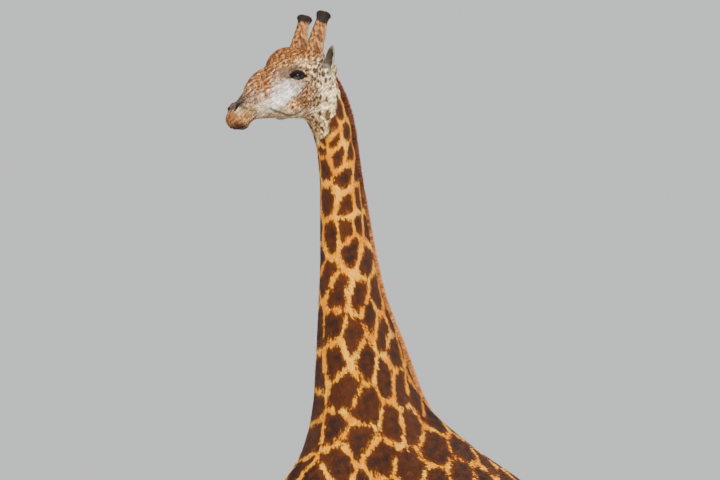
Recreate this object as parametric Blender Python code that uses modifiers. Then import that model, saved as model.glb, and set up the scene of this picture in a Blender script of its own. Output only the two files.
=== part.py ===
"""A bull giraffe, standing, at life size.

Metres, Z up. The animal faces -Y and its left side is +X. The origin is on the floor, in the middle
of the animal's box. Every solid reaches out to the tips of the short coat.

The head and the rest of the body are each modelled whole, from lofts and rounded masses that a voxel
remesh melts into one form, and are then parted by thin cuts into the named pieces."""

import math

import bmesh
import bpy
import numpy as np
from mathutils import Matrix, Vector

# ---------------------------------------------------------------- driving dimensions
HEAD_TURN = 5.0          # degrees that the head is turned to the animal's right
TURN_FROM, TURN_TO = 3.30, 4.55   # heights between which the neck takes up that turn
PIVOT_Y = -0.476         # where the head turns; its lengths are measured forward from here
CUT = 0.0006             # gap between neighbouring pieces
BLOCK = 4.0              # side of the blocks that part the neck from its neighbours
RING_POINTS = 32         # corners of a loft's ring
HEAD_TRIANGLES = 2300
BODY_TRIANGLES = 3100

EYE_RADIUS = 0.034
EYE_AT = (0.111, 0.300, 4.930)    # how far to the side, forward and up
OSSICONE_FOOT = (0.086, 0.200, 5.035)
OSSICONE_TIP = (0.101, 0.135, 5.272)
EAR_FOOT = (0.104, 0.112, 4.950)
EAR_TIP = (0.196, 0.136, 5.085)
EAR_WIDTH = 0.084
DOCK_END = 1.74          # height at which the tail's tuft begins

# Each row of HEAD is a section from its top to its underside, both as (forward, up), then half
# width, pear and power.
HEAD = (
    (0.030, 4.955, 0.130, 4.720, 0.080, -0.05, 2.1),
    (0.080, 5.035, 0.190, 4.726, 0.106, 0.00, 2.1),
    (0.160, 5.072, 0.255, 4.724, 0.124, 0.05, 2.2),
    (0.255, 5.078, 0.325, 4.720, 0.130, 0.10, 2.2),
    (0.338, 5.050, 0.380, 4.718, 0.118, 0.05, 2.2),
    (0.400, 5.000, 0.422, 4.714, 0.098, 0.00, 2.2),
    (0.450, 4.953, 0.458, 4.710, 0.082, -0.05, 2.2),
    (0.497, 4.903, 0.494, 4.703, 0.072, -0.05, 2.2),
    (0.542, 4.850, 0.524, 4.682, 0.067, 0.00, 2.3),
    (0.580, 4.800, 0.550, 4.660, 0.070, 0.02, 2.4),
    (0.611, 4.760, 0.576, 4.650, 0.068, 0.00, 2.5),
    (0.636, 4.724, 0.604, 4.650, 0.054, 0.00, 2.4),
    (0.648, 4.702, 0.630, 4.662, 0.030, 0.00, 2.2),
)
# Each row of TRUNK is a section across the body: y, top, bottom, half width, pear, power.
TRUNK = (
    (-0.880, 2.62, 2.36, 0.08, 0.00, 2.2),
    (-0.84, 2.75, 2.22, 0.17, -0.05, 2.2),
    (-0.76, 2.88, 2.11, 0.235, -0.12, 2.2),
    (-0.62, 3.02, 2.02, 0.285, -0.20, 2.2),
    (-0.42, 3.15, 1.955, 0.320, -0.30, 2.2),
    (-0.18, 3.25, 1.915, 0.345, -0.36, 2.2),
    (0.04, 3.265, 1.89, 0.375, -0.38, 2.2),
    (0.20, 3.160, 1.88, 0.400, -0.34, 2.2),
    (0.38, 3.036, 1.89, 0.418, -0.26, 2.2),
    (0.56, 2.932, 1.925, 0.420, -0.20, 2.25),
    (0.72, 2.828, 1.985, 0.400, -0.14, 2.3),
    (0.86, 2.745, 2.06, 0.370, -0.10, 2.3),
    (0.97, 2.665, 2.13, 0.325, -0.08, 2.3),
    (1.05, 2.580, 2.21, 0.255, -0.05, 2.2),
    (1.10, 2.490, 2.32, 0.140, 0.00, 2.1),
)
# Each row of NECK is a level slice: z, throat y, nape y, half width, pear, power.
NECK = (
    (2.56, -0.84, -0.10, 0.230, -0.10, 2.2),
    (2.70, -0.805, 0.00, 0.250, -0.10, 2.2),
    (2.86, -0.742, 0.12, 0.252, -0.15, 2.2),
    (2.97, -0.674, 0.19, 0.242, -0.20, 2.2),
    (3.07, -0.626, 0.22, 0.228, -0.28, 2.2),
    (3.17, -0.596, 0.170, 0.209, -0.36, 2.2),
    (3.28, -0.578, 0.070, 0.188, -0.42, 2.2),
    (3.38, -0.574, 0.005, 0.172, -0.42, 2.2),
    (3.59, -0.570, -0.090, 0.149, -0.38, 2.2),
    (3.80, -0.566, -0.196, 0.130, -0.30, 2.15),
    (4.00, -0.562, -0.256, 0.117, -0.26, 2.1),
    (4.20, -0.563, -0.300, 0.107, -0.24, 2.1),
    (4.40, -0.563, -0.345, 0.099, -0.24, 2.1),
    (4.50, -0.570, -0.366, 0.097, -0.26, 2.1),
    (4.59, -0.582, -0.383, 0.097, -0.28, 2.1),
    (4.66, -0.606, -0.392, 0.097, -0.28, 2.1),
    (4.74, -0.658, -0.412, 0.096, -0.22, 2.1),
    (4.84, -0.680, -0.454, 0.092, -0.12, 2.1),
    (4.92, -0.660, -0.490, 0.078, 0.00, 2.1),
)
# Each row of a leg is a level slice: z, y, half depth, x, half width.
FORELEG = (
    (2.62, -0.420, 0.17, 0.190, 0.070),
    (2.40, -0.473, 0.235, 0.215, 0.095),
    (2.16, -0.478, 0.210, 0.226, 0.104),
    (1.96, -0.450, 0.172, 0.226, 0.098),
    (1.78, -0.430, 0.132, 0.220, 0.088),
    (1.58, -0.427, 0.104, 0.212, 0.076),
    (1.34, -0.430, 0.082, 0.205, 0.066),
    (1.12, -0.435, 0.069, 0.200, 0.060),
    (1.01, -0.438, 0.076, 0.199, 0.070),
    (0.94, -0.439, 0.080, 0.199, 0.074),
    (0.87, -0.433, 0.071, 0.198, 0.066),
    (0.79, -0.427, 0.054, 0.197, 0.050),
    (0.62, -0.425, 0.048, 0.196, 0.041),
    (0.42, -0.425, 0.049, 0.195, 0.042),
    (0.31, -0.424, 0.058, 0.195, 0.050),
    (0.245, -0.426, 0.068, 0.195, 0.059),
    (0.185, -0.443, 0.063, 0.195, 0.057),
    (0.14, -0.460, 0.074, 0.195, 0.065),
    (0.03, -0.490, 0.080, 0.195, 0.068),
)
HINDLEG = (
    (2.54, 0.90, 0.150, 0.150, 0.090),
    (2.34, 0.86, 0.215, 0.185, 0.125),
    (2.12, 0.83, 0.240, 0.204, 0.132),
    (1.92, 0.81, 0.215, 0.212, 0.120),
    (1.74, 0.81, 0.172, 0.212, 0.104),
    (1.54, 0.85, 0.128, 0.206, 0.084),
    (1.34, 0.91, 0.094, 0.198, 0.068),
    (1.16, 0.962, 0.074, 0.192, 0.056),
    (1.05, 0.990, 0.078, 0.190, 0.056),
    (0.96, 0.996, 0.080, 0.189, 0.062),
    (0.88, 0.990, 0.068, 0.188, 0.058),
    (0.78, 0.984, 0.054, 0.187, 0.046),
    (0.62, 0.978, 0.048, 0.186, 0.040),
    (0.42, 0.974, 0.048, 0.185, 0.041),
    (0.31, 0.972, 0.057, 0.185, 0.049),
    (0.245, 0.968, 0.067, 0.185, 0.058),
    (0.185, 0.950, 0.062, 0.185, 0.056),
    (0.14, 0.932, 0.073, 0.185, 0.064),
    (0.03, 0.902, 0.078, 0.185, 0.067),
)
# The stance is a little staggered: how far back each foot stands from the tables above.
STANCE = {"fore_left": -0.05, "fore_right": 0.06, "hind_left": 0.07, "hind_right": -0.08}
STRIDE_TOP = 2.3         # the stagger fades out at this height
# Each row of MANE is a level slice: z, how far its crest stands behind the nape, half width.
MANE = (
    (4.955, 0.004, 0.010),
    (4.925, 0.030, 0.016),
    (4.860, 0.046, 0.019),
    (4.750, 0.046, 0.020),
    (4.600, 0.036, 0.019),
    (4.300, 0.030, 0.018),
    (4.000, 0.030, 0.018),
    (3.700, 0.036, 0.018),
    (3.450, 0.038, 0.018),
    (3.300, 0.030, 0.016),
    (3.215, 0.012, 0.010),
)
# Each row of TAIL and TUFT is a level slice: z, y, half depth, half width.
TAIL = (
    (2.640, 1.030, 0.040, 0.036),
    (2.570, 1.085, 0.046, 0.042),
    (2.480, 1.140, 0.042, 0.040),
    (2.370, 1.172, 0.034, 0.034),
    (2.180, 1.186, 0.027, 0.028),
    (1.960, 1.186, 0.022, 0.023),
    (DOCK_END, 1.184, 0.020, 0.021),
)
TUFT = (
    (DOCK_END - CUT, 1.184, 0.021, 0.022),
    (1.600, 1.184, 0.030, 0.034),
    (1.420, 1.186, 0.038, 0.044),
    (1.240, 1.188, 0.038, 0.044),
    (1.080, 1.190, 0.028, 0.032),
    (0.960, 1.192, 0.010, 0.012),
)
# Each row of HOOF is a level slice: z, how far back of the toe's middle, half length, half width.
HOOF = (
    (0.000, 0.000, 0.138, 0.100),
    (0.030, 0.004, 0.134, 0.098),
    (0.090, 0.020, 0.112, 0.085),
    (0.150, 0.038, 0.090, 0.072),
)
HOOF_TILT = 13.0         # degrees that the hoof's top slopes down to the heel
HOOF_TOP = 0.112         # its height in the middle
CLEFT = 0.010

# The legs are softened a little, the shoulders, trunk and rump a lot.
BODY_EVENINGS = (
    (5, ((0.0, 1.0), (6.0, 1.0))),
    (70, ((1.60, 0.0), (1.95, 0.8), (2.20, 1.0), (3.15, 1.0), (3.60, 0.15), (6.0, 0.10))),
)

UP, BACK, LEFT = Vector((0, 0, 1)), Vector((0, 1, 0)), Vector((1, 0, 0))


def clear_scene():
    for old in list(bpy.data.objects):
        bpy.data.objects.remove(old)


def collection(name):
    made = bpy.data.collections.new(name)
    bpy.context.scene.collection.children.link(made)
    return made


def material(name, colour, roughness):
    made = bpy.data.materials.new(name)
    made.use_nodes = True
    shader = made.node_tree.nodes["Principled BSDF"]
    shader.inputs["Base Color"].default_value = (*colour, 1.0)
    shader.inputs["Roughness"].default_value = roughness
    return made


# ---------------------------------------------------------------- objects made from bmesh forms
def helper(name, form):
    """Turns the bmesh form into an object that isn't rendered."""
    bmesh.ops.recalc_face_normals(form, faces=form.faces)
    mesh = bpy.data.meshes.new(name)
    form.to_mesh(mesh)
    form.free()
    made = bpy.data.objects.new(name, mesh)
    helpers.objects.link(made)
    made.hide_render = True
    made.display_type = "WIRE"
    return made


def finished(name, solid, look):
    """Shows a helper as one of the giraffe's pieces, with a material of its own."""
    piece = bpy.data.objects.new(name, solid.data.copy())
    piece.data.name = name
    piece.data.materials.clear()
    piece.data.materials.append(material(name + "_look", *look))
    giraffe.objects.link(piece)
    return piece


def bake(made):
    """Replaces an object's mesh by what its modifiers make of it."""
    bpy.context.view_layer.update()
    graph = bpy.context.evaluated_depsgraph_get()
    mesh = bpy.data.meshes.new_from_object(made.evaluated_get(graph))
    made.modifiers.clear()
    made.data = mesh


def combined(name, solid, other, operation):
    """A new helper: solid with other cut from it, or what the two share."""
    made = bpy.data.objects.new(name, solid.data.copy())
    helpers.objects.link(made)
    made.hide_render = True
    made.display_type = "WIRE"
    boolean = made.modifiers.new("combine", "BOOLEAN")
    boolean.operation = operation
    boolean.solver = "EXACT"
    boolean.object = other
    bake(made)
    return made


def grown(solid, by):
    """A copy of a helper, swollen by a little in every direction."""
    form = bmesh.new()
    form.from_mesh(solid.data)
    form.normal_update()
    moves = [vertex.normal * by for vertex in form.verts]
    for vertex, step in zip(form.verts, moves):
        vertex.co += step
    return helper(solid.name + "_grown", form)


def parted(name, solid, cutter):
    """Cuts solid along the cutter's surface. Returns the part inside it and the rest."""
    inside = combined(name, solid, cutter, "INTERSECT")
    rest = combined(solid.name + "_rest", solid, grown(cutter, CUT), "DIFFERENCE")
    return inside, rest


def fitted(name, solid, *neighbours):
    """Cuts solid back to its neighbours' surfaces, less the gap."""
    for neighbour in neighbours:
        solid = combined(name, solid, grown(neighbour, CUT), "DIFFERENCE")
    return solid


# ---------------------------------------------------------------- lofts and masses
def filled_in(rows, steps):
    """A table of numbers, with a smooth curve run through its rows."""
    rows = np.array(rows, float)
    padded = np.vstack([2 * rows[0] - rows[1], rows, 2 * rows[-1] - rows[-2]])
    place = np.linspace(0, len(rows) - 1, steps)
    first = np.minimum(place.astype(int), len(rows) - 2)
    u = (place - first)[:, None]
    a, b, c, d = (padded[first + k] for k in range(4))
    return b + 0.5 * u * (c - a + u * (2 * a - 5 * b + 4 * c - d + u * (3 * (b - c) + d - a)))


def ring(centre, along, across, half_along, half_across, power=2.0, pear=0.0, corners=RING_POINTS):
    """A closed loop round centre. A power over 2 squares it off, and pear widens it towards along."""
    points = []
    for k in range(corners):
        angle = 2 * math.pi * k / corners
        c, s = math.cos(angle), math.sin(angle)
        reach = math.copysign(abs(c) ** (2 / power), c)
        spread = math.copysign(abs(s) ** (2 / power), s) * (1 + pear * c)
        points.append(centre + along * half_along * reach + across * half_across * spread)
    return points


def loft(form, rings):
    """Adds a closed skin through the rings to the bmesh form."""
    loops = [[form.verts.new(point) for point in points] for points in rings]
    count = len(loops[0])
    for one, two in zip(loops, loops[1:]):
        for k in range(count):
            after = (k + 1) % count
            form.faces.new((one[k], one[after], two[after], two[k]))
    for loop in (loops[0], loops[-1]):
        form.faces.new(loop)


def mass(form, centre, radii, tilt=(0.0, 0.0, 0.0)):
    """Adds a rounded mass, an ellipsoid tilted by degrees about X, Y and Z."""
    turn = Matrix.Identity(4)
    for axis, degrees in zip("XYZ", tilt):
        turn = Matrix.Rotation(math.radians(degrees), 4, axis) @ turn
    place = Matrix.Translation(centre) @ turn @ Matrix.Diagonal((*radii, 1.0))
    bmesh.ops.create_uvsphere(form, u_segments=24, v_segments=16, radius=1.0, matrix=place)


def masses(form, centre, radii, tilt=(0.0, 0.0, 0.0)):
    """The same mass on both sides."""
    x, y, z = centre
    about_x, about_y, about_z = tilt
    mass(form, (x, y, z), radii, tilt)
    mass(form, (-x, y, z), radii, (about_x, -about_y, -about_z))


def turn_form(form):
    """Swings every corner about the top of the neck, by the share of the turn its height takes."""
    for vertex in form.verts:
        t = min(1.0, max(0.0, (vertex.co.z - TURN_FROM) / (TURN_TO - TURN_FROM)))
        share = t * t * (3 - 2 * t)
        pivot = Vector((0.0, PIVOT_Y, 0.0))
        swing = Matrix.Rotation(math.radians(-HEAD_TURN * share), 3, "Z")
        vertex.co = pivot + swing @ (vertex.co - pivot)


def melted(name, form, voxel, evenings, triangles):
    """Makes one closed form of the overlapping shapes in form, as a helper. Each of the evenings is
    how many times the form is softened and how strongly at which heights, as (height, share) rows."""
    made = helper(name, form)
    remesh = made.modifiers.new("melt", "REMESH")
    remesh.mode = "VOXEL"
    remesh.voxel_size = voxel
    bake(made)
    heights = np.empty(len(made.data.vertices) * 3)
    made.data.vertices.foreach_get("co", heights)
    heights = heights[2::3]
    for times, shares in evenings:
        levels, strengths = np.array(shares).T
        group = made.vertex_groups.new(name="evening")
        for index, strength in enumerate(np.interp(heights, levels, strengths)):
            group.add([index], float(strength), "REPLACE")
        soften = made.modifiers.new("soften", "SMOOTH")
        soften.factor = 0.5
        soften.iterations = times
        soften.vertex_group = group.name
        bake(made)
        made.vertex_groups.clear()
    decimate = made.modifiers.new("thin_out", "DECIMATE")
    decimate.ratio = triangles / sum(len(face.vertices) - 2 for face in made.data.polygons)
    bake(made)
    return made


def section_rings(rows, steps):
    rings = []
    for y, top, bottom, half_width, pear, power in filled_in(rows, steps):
        centre = Vector((0, y, (top + bottom) / 2))
        rings.append(ring(centre, UP, LEFT, (top - bottom) / 2, half_width, power, pear))
    return rings


def slice_rings(rows, steps):
    rings = []
    for z, front, rear, half_width, pear, power in filled_in(rows, steps):
        centre = Vector((0, (front + rear) / 2, z))
        rings.append(ring(centre, BACK, LEFT, (rear - front) / 2, half_width, power, pear))
    return rings


def head_point(side, forward, up):
    return Vector((side, PIVOT_Y - forward, up))


def head_rings(rows, steps):
    rings = []
    for over, top, under, bottom, half_width, pear, power in filled_in(rows, steps):
        high, low = head_point(0, over, top), head_point(0, under, bottom)
        along = (high - low).normalized()
        rings.append(ring((high + low) / 2, along, LEFT, (high - low).length / 2, half_width, power, pear))
    return rings


def stance_shift(z, step):
    return step * (1 - min(1.0, max(0.0, z / STRIDE_TOP)) ** 1.5)


def leg_rings(rows, side, step):
    rings = []
    for z, y, half_depth, x, half_width in filled_in(rows, 60):
        centre = Vector((side * x, y + stance_shift(z, step), z))
        rings.append(ring(centre, BACK, LEFT, half_depth, half_width))
    return rings


# ---------------------------------------------------------------- the two melted forms
def add_head(form):
    """Skull, forehead, cheeks, jaw and muzzle."""
    loft(form, head_rings(HEAD, 60))
    at = head_point
    mass(form, at(0, 0.335, 5.022), (0.066, 0.094, 0.054), (38, 0, 0))     # lump on the forehead
    mass(form, at(0, 0.235, 5.042), (0.085, 0.080, 0.050))                 # crown
    mass(form, at(0, 0.095, 4.975), (0.088, 0.085, 0.068))                 # back of the skull
    mass(form, at(0, 0.480, 4.900), (0.036, 0.098, 0.040), (47, 0, 0))     # bridge of the nose
    mass(form, at(0, 0.613, 4.703), (0.058, 0.036, 0.038))                 # upper lip
    mass(form, at(0, 0.562, 4.670), (0.044, 0.036, 0.024))                 # chin
    for side, forward, up, radii, tilt in (
        (0.087, 0.195, 5.035, (0.062, 0.066, 0.056), (0, 0, 0)),           # foot of the ossicone
        (0.110, 0.285, 4.970, (0.042, 0.070, 0.032), (8, 0, 0)),           # brow
        (0.108, 0.292, 4.884, (0.036, 0.060, 0.030), (10, 0, 0)),          # rim under the eye
        (0.074, 0.400, 4.866, (0.026, 0.100, 0.022), (35, 0, 0)),          # crest along the cheek
        (0.064, 0.290, 4.800, (0.048, 0.105, 0.080), (10, 0, 0)),          # jaw muscle
        (0.040, 0.588, 4.762, (0.034, 0.036, 0.028), (30, 0, 0)),          # nostril
        (0.100, 0.112, 4.948, (0.034, 0.034, 0.040), (0, 0, 0)),           # foot of the ear
    ):
        masses(form, at(side, forward, up), radii, tilt)


def add_body(form):
    """Trunk, neck and legs."""
    loft(form, section_rings(TRUNK, 60))
    loft(form, slice_rings(NECK, 70))
    for side, word in ((1, "left"), (-1, "right")):
        fore, hind = STANCE["fore_" + word], STANCE["hind_" + word]
        loft(form, leg_rings(FORELEG, side, fore))
        loft(form, leg_rings(HINDLEG, side, hind))
        # knee cap, point of the hock, and the pads behind the fetlocks
        mass(form, (side * 0.199, -0.497 + stance_shift(0.95, fore), 0.95), (0.048, 0.026, 0.070))
        mass(form, (side * 0.190, 1.052 + stance_shift(1.06, hind), 1.06), (0.032, 0.030, 0.075), (6, 0, 0))
        mass(form, (side * 0.195, -0.377 + stance_shift(0.25, fore), 0.25), (0.036, 0.032, 0.048))
        mass(form, (side * 0.185, 1.016 + stance_shift(0.25, hind), 0.25), (0.035, 0.032, 0.048))
    # shoulder blade, upper arm and breast
    masses(form, (0.165, -0.22, 2.72), (0.085, 0.22, 0.42), (22, 8, 0))
    masses(form, (0.228, -0.56, 2.38), (0.090, 0.17, 0.24), (-20, 0, 0))
    masses(form, (0.120, -0.70, 2.42), (0.130, 0.16, 0.25), (-8, 0, 0))
    # belly, hip bones, rump and thigh
    masses(form, (0.100, 0.42, 2.27), (0.318, 0.46, 0.365))
    masses(form, (0.230, 0.74, 2.54), (0.080, 0.13, 0.11), (25, 0, 0))
    masses(form, (0.165, 0.90, 2.38), (0.150, 0.19, 0.26), (8, 0, 0))
    masses(form, (0.210, 0.66, 2.02), (0.100, 0.16, 0.26), (-25, 0, 0))
    mass(form, (0, 0.58, 1.915), (0.045, 0.13, 0.05), (16, 0, 0))


# ---------------------------------------------------------------- cutters
def beyond_plane(name, high, low):
    """A large block in front of the plane that holds two points of the middle, both as (y, z)."""
    high, low = Vector((0, *high)), Vector((0, *low))
    down = (low - high).normalized()
    forward = down.cross(LEFT)
    middle = (high + low) / 2 + forward * BLOCK / 2
    turn = Matrix((LEFT, forward, down)).transposed().to_4x4()
    form = bmesh.new()
    size = Matrix.Diagonal((BLOCK, BLOCK, BLOCK, 1.0))
    bmesh.ops.create_cube(form, size=1.0, matrix=Matrix.Translation(middle) @ turn @ size)
    return helper(name, form)


def prism(name, outline, x_from, x_to):
    """A block whose side view is the outline, as (y, z) corners."""
    form = bmesh.new()
    near = [form.verts.new((x_from, y, z)) for y, z in outline]
    far = [form.verts.new((x_to, y, z)) for y, z in outline]
    count = len(outline)
    for k in range(count):
        after = (k + 1) % count
        form.faces.new((near[k], near[after], far[after], far[k]))
    form.faces.new(near)
    form.faces.new(far)
    return helper(name, form)


def hoof_block(name, side, y, tilt):
    """A block that holds the hoof, with the slope of its top."""
    form = bmesh.new()
    turn = Matrix.Rotation(math.radians(tilt), 4, "X")
    place = Matrix.Translation((side * 0.19, y, HOOF_TOP)) @ turn @ Matrix.Translation((0, 0, -0.3))
    bmesh.ops.create_cube(form, size=1.0, matrix=place @ Matrix.Diagonal((0.34, 0.60, 0.6, 1.0)))
    return helper(name, form)


# ---------------------------------------------------------------- pieces made on their own
def hoof_solid(name, side, x, y, size):
    """A cloven hoof on a flat sole. The cleft stops short of the hoof's top, which holds it in one."""
    form = bmesh.new()
    rings = []
    for z, back, half_length, half_width in filled_in(HOOF, 6):
        centre = Vector((side * x, y + back * size, z))
        rings.append(ring(centre, BACK, LEFT, half_length * size, half_width * size, 2.4, corners=20))
    loft(form, rings)
    hoof = helper(name, form)
    slot = prism(name + "_cleft", ((y - 0.2, -0.01), (y + 0.2, -0.01), (y + 0.2, 0.035), (y - 0.2, 0.085)),
                 side * x - CLEFT / 2, side * x + CLEFT / 2)
    hoof = combined(name, hoof, slot, "DIFFERENCE")
    return combined(name, hoof, hoof_block(name + "_block", side, y, -HOOF_TILT), "INTERSECT")


def ossicone_solid(name, side):
    """A thick horn covered in skin, with a rounded knob."""
    foot = head_point(side * OSSICONE_FOOT[0], *OSSICONE_FOOT[1:])
    tip = head_point(side * OSSICONE_TIP[0], *OSSICONE_TIP[1:])
    along = (tip - foot).normalized()
    ahead = along.cross(LEFT).normalized()
    form = bmesh.new()
    rings = []
    for share, radius in filled_in(((0.00, 0.056), (0.22, 0.048), (0.48, 0.040), (0.72, 0.035),
                                    (0.86, 0.036), (0.95, 0.032), (1.00, 0.016)), 9):
        rings.append(ring(foot.lerp(tip, share), ahead, LEFT, radius, radius, corners=14))
    loft(form, rings)
    turn_form(form)
    return helper(name, form)


def ear_solid(name, side):
    """A cupped leaf that opens forward."""
    foot = head_point(side * EAR_FOOT[0], *EAR_FOOT[1:])
    tip = head_point(side * EAR_TIP[0], *EAR_TIP[1:])
    along = (tip - foot).normalized()
    out = Vector((side, -0.05, 0)).normalized()
    out = (out - along * out.dot(along)).normalized()
    behind = BACK - along * BACK.dot(along)
    behind = (behind - out * behind.dot(out)).normalized()
    form = bmesh.new()
    rings = []
    for share, width, cup, thick in filled_in(((-0.15, 0.40, 0.30, 0.016), (0.10, 0.60, 0.42, 0.013),
                                               (0.40, 1.00, 0.36, 0.010), (0.70, 0.86, 0.24, 0.008),
                                               (0.90, 0.50, 0.14, 0.007), (1.00, 0.12, 0.04, 0.006)), 9):
        half, deep = EAR_WIDTH / 2 * width, EAR_WIDTH * cup
        centre = foot.lerp(tip, share)
        points = []
        for k in range(14):
            angle = 2 * math.pi * k / 14
            across, through = math.cos(angle), math.sin(angle)
            bow = deep * (1 - across * across)
            points.append(centre + out * half * across + behind * (bow + through * thick / 2 - deep / 2))
        rings.append(points)
    loft(form, rings)
    turn_form(form)
    return helper(name, form)


def eye_solid(name, side):
    form = bmesh.new()
    x, forward, up = EYE_AT
    centre = head_point(side * x, forward, up)
    bmesh.ops.create_uvsphere(form, u_segments=14, v_segments=8, radius=EYE_RADIUS,
                              matrix=Matrix.Translation(centre) @ Matrix.Rotation(math.pi / 2, 4, "Y"))
    turn_form(form)
    return helper(name, form)


def mane_solid(name):
    """The crest of stiff hair along the nape, down to the withers."""
    neck = np.array(NECK)[:, [0, 2]]
    form = bmesh.new()
    rings = []
    for z, stand, half_width in filled_in(MANE, 22):
        nape = float(np.interp(z, neck[:, 0], neck[:, 1]))
        front, rear = nape - 0.030, nape + stand
        centre = Vector((0, (front + rear) / 2, z))
        rings.append(ring(centre, BACK, LEFT, (rear - front) / 2, half_width, 2.2, -0.25, corners=10))
    loft(form, rings)
    turn_form(form)
    return helper(name, form)


def hanging_solid(name, rows, steps):
    form = bmesh.new()
    rings = []
    for z, y, half_depth, half_width in filled_in(rows, steps):
        rings.append(ring(Vector((0, y, z)), BACK, LEFT, half_depth, half_width, corners=10))
    loft(form, rings)
    return helper(name, form)


def centre(pieces):
    """Moves every piece so that the origin is under the middle of the animal's box."""
    corners = np.array([vertex.co for piece in pieces for vertex in piece.data.vertices])
    middle = (corners.min(axis=0) + corners.max(axis=0)) / 2
    for piece in pieces:
        piece.data.transform(Matrix.Translation((-middle[0], -middle[1], 0)))
    print("moved by", -middle[0], -middle[1])


# ---------------------------------------------------------------- the giraffe
COAT = ((0.52, 0.27, 0.12), 0.8)
FACE = ((0.45, 0.27, 0.15), 0.8)
HORN_SKIN = ((0.34, 0.18, 0.08), 0.8)
EAR_SKIN = ((0.62, 0.52, 0.40), 0.8)
MANE_HAIR = ((0.25, 0.09, 0.03), 0.8)
TUFT_HAIR = ((0.02, 0.015, 0.012), 0.8)
EYE_LOOK = ((0.012, 0.008, 0.006), 0.1)
HOOF_LOOK = ((0.10, 0.075, 0.055), 0.5)

clear_scene()
helpers = collection("helpers")
helpers.hide_render = True
giraffe = collection("giraffe")

head_form = bmesh.new()
add_head(head_form)
loft(head_form, slice_rings(NECK[8:], 40))
turn_form(head_form)
whole_head = melted("whole_head", head_form, 0.006, ((30, ((0, 1), (6, 1))),), HEAD_TRIANGLES)

body_form = bmesh.new()
add_body(body_form)
add_head(body_form)
turn_form(body_form)
whole_body = melted("whole_body", body_form, 0.011, BODY_EVENINGS, BODY_TRIANGLES)

head_block = beyond_plane("head_block", (-0.492, 4.985), (-0.720, 4.735))
head = combined("head_cut", whole_head, head_block, "INTERSECT")
body = combined("body_cut", whole_body, grown(head_block, CUT), "DIFFERENCE")

for side, word in ((1, "left"), (-1, "right")):
    eye = eye_solid("ball_" + word, side)
    head = fitted("head_" + word, head, eye)
    ossicone = fitted("horn_" + word, ossicone_solid("horn_" + word, side), head)
    ear = fitted("ear_cut_" + word, ear_solid("ear_cut_" + word, side), head)
    finished("eye_" + word, eye, EYE_LOOK)
    finished("ossicone_" + word, ossicone, HORN_SKIN)
    finished("ear_" + word, ear, EAR_SKIN)
finished("head", head, FACE)

mane = fitted("mane_cut", mane_solid("mane_cut"), whole_body, whole_head)
finished("mane", mane, MANE_HAIR)
tail = fitted("tail_cut", hanging_solid("tail_cut", TAIL, 12), body)
finished("tail", tail, COAT)
finished("tail_tuft", hanging_solid("tuft", TUFT, 10), TUFT_HAIR)

for side, word in ((1, "left"), (-1, "right")):
    fore, hind = STANCE["fore_" + word], STANCE["hind_" + word]
    for end, x, y, size, step in (("fore", 0.195, -0.493, 1.0, fore), ("hind", 0.185, 0.906, 0.9, hind)):
        name = end + "_" + word
        hoof = hoof_solid("hoof_" + name + "_solid", side, x, y + step, size)
        finished("hoof_" + name, hoof, HOOF_LOOK)
        block = hoof_block(name + "_foot", side, y + step, -HOOF_TILT)
        body = combined("body_" + name, body, grown(block, CUT), "DIFFERENCE")
    x_from, x_to = sorted((side * 0.055, side * 0.60))
    fore_block = prism("fore_block", ((-1.00, -0.1), (0.05, -0.1), (0.05, 1.78), (-0.15, 2.02),
                                      (-0.42, 2.16), (-0.70, 2.06), (-1.00, 2.00)), x_from, x_to)
    hind_block = prism("hind_block", ((0.45, -0.1), (1.50, -0.1), (1.50, 2.20), (0.92, 2.20),
                                      (0.66, 2.06), (0.45, 1.70)), x_from, x_to)
    leg, body = parted("leg_fore_" + word, body, fore_block)
    finished("foreleg_" + word, leg, COAT)
    leg, body = parted("leg_hind_" + word, body, hind_block)
    finished("hindleg_" + word, leg, COAT)

neck_block = beyond_plane("neck_block", (0.17, 3.26), (-0.80, 2.66))
neck, trunk = parted("neck_cut", body, neck_block)
finished("neck", neck, COAT)
finished("trunk", trunk, COAT)
centre(giraffe.objects)
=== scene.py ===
import itertools
import math

import bmesh
import bpy
import numpy as np
from mathutils import Matrix, Vector, kdtree
from mathutils.bvhtree import BVHTree


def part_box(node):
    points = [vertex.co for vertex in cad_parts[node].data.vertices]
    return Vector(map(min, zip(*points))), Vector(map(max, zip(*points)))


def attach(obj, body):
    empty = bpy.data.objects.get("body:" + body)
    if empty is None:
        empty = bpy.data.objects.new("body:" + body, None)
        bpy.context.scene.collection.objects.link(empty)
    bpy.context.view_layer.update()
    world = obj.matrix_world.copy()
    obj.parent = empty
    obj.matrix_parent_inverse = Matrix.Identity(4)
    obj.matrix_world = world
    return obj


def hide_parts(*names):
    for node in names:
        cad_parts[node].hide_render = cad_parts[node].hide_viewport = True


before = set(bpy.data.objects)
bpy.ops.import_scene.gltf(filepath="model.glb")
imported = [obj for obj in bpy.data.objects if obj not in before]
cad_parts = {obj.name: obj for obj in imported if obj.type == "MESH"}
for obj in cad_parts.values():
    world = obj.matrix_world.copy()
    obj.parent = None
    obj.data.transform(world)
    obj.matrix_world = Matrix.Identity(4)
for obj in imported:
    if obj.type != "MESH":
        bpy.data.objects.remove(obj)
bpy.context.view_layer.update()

# ---- The view, the floor and the light ----
# A low, distant look up at the head and neck from the animal's left front, through a long lens.
# A pale floor runs far back, and large soft lamps stand on both sides of the animal.
LOOK_AT = Vector((0, -0.384, 4.11))
LOOK_FROM, LOOK_UP, LOOK_DISTANCE = math.radians(55), math.radians(-4.2), 20.8
LENS, FILM_WIDTH, FAR_LIMIT = 200, 36, 400
FLOOR_HALF = 60
LAMPS_AIM = Vector((0, 0, 3.2))
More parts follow.
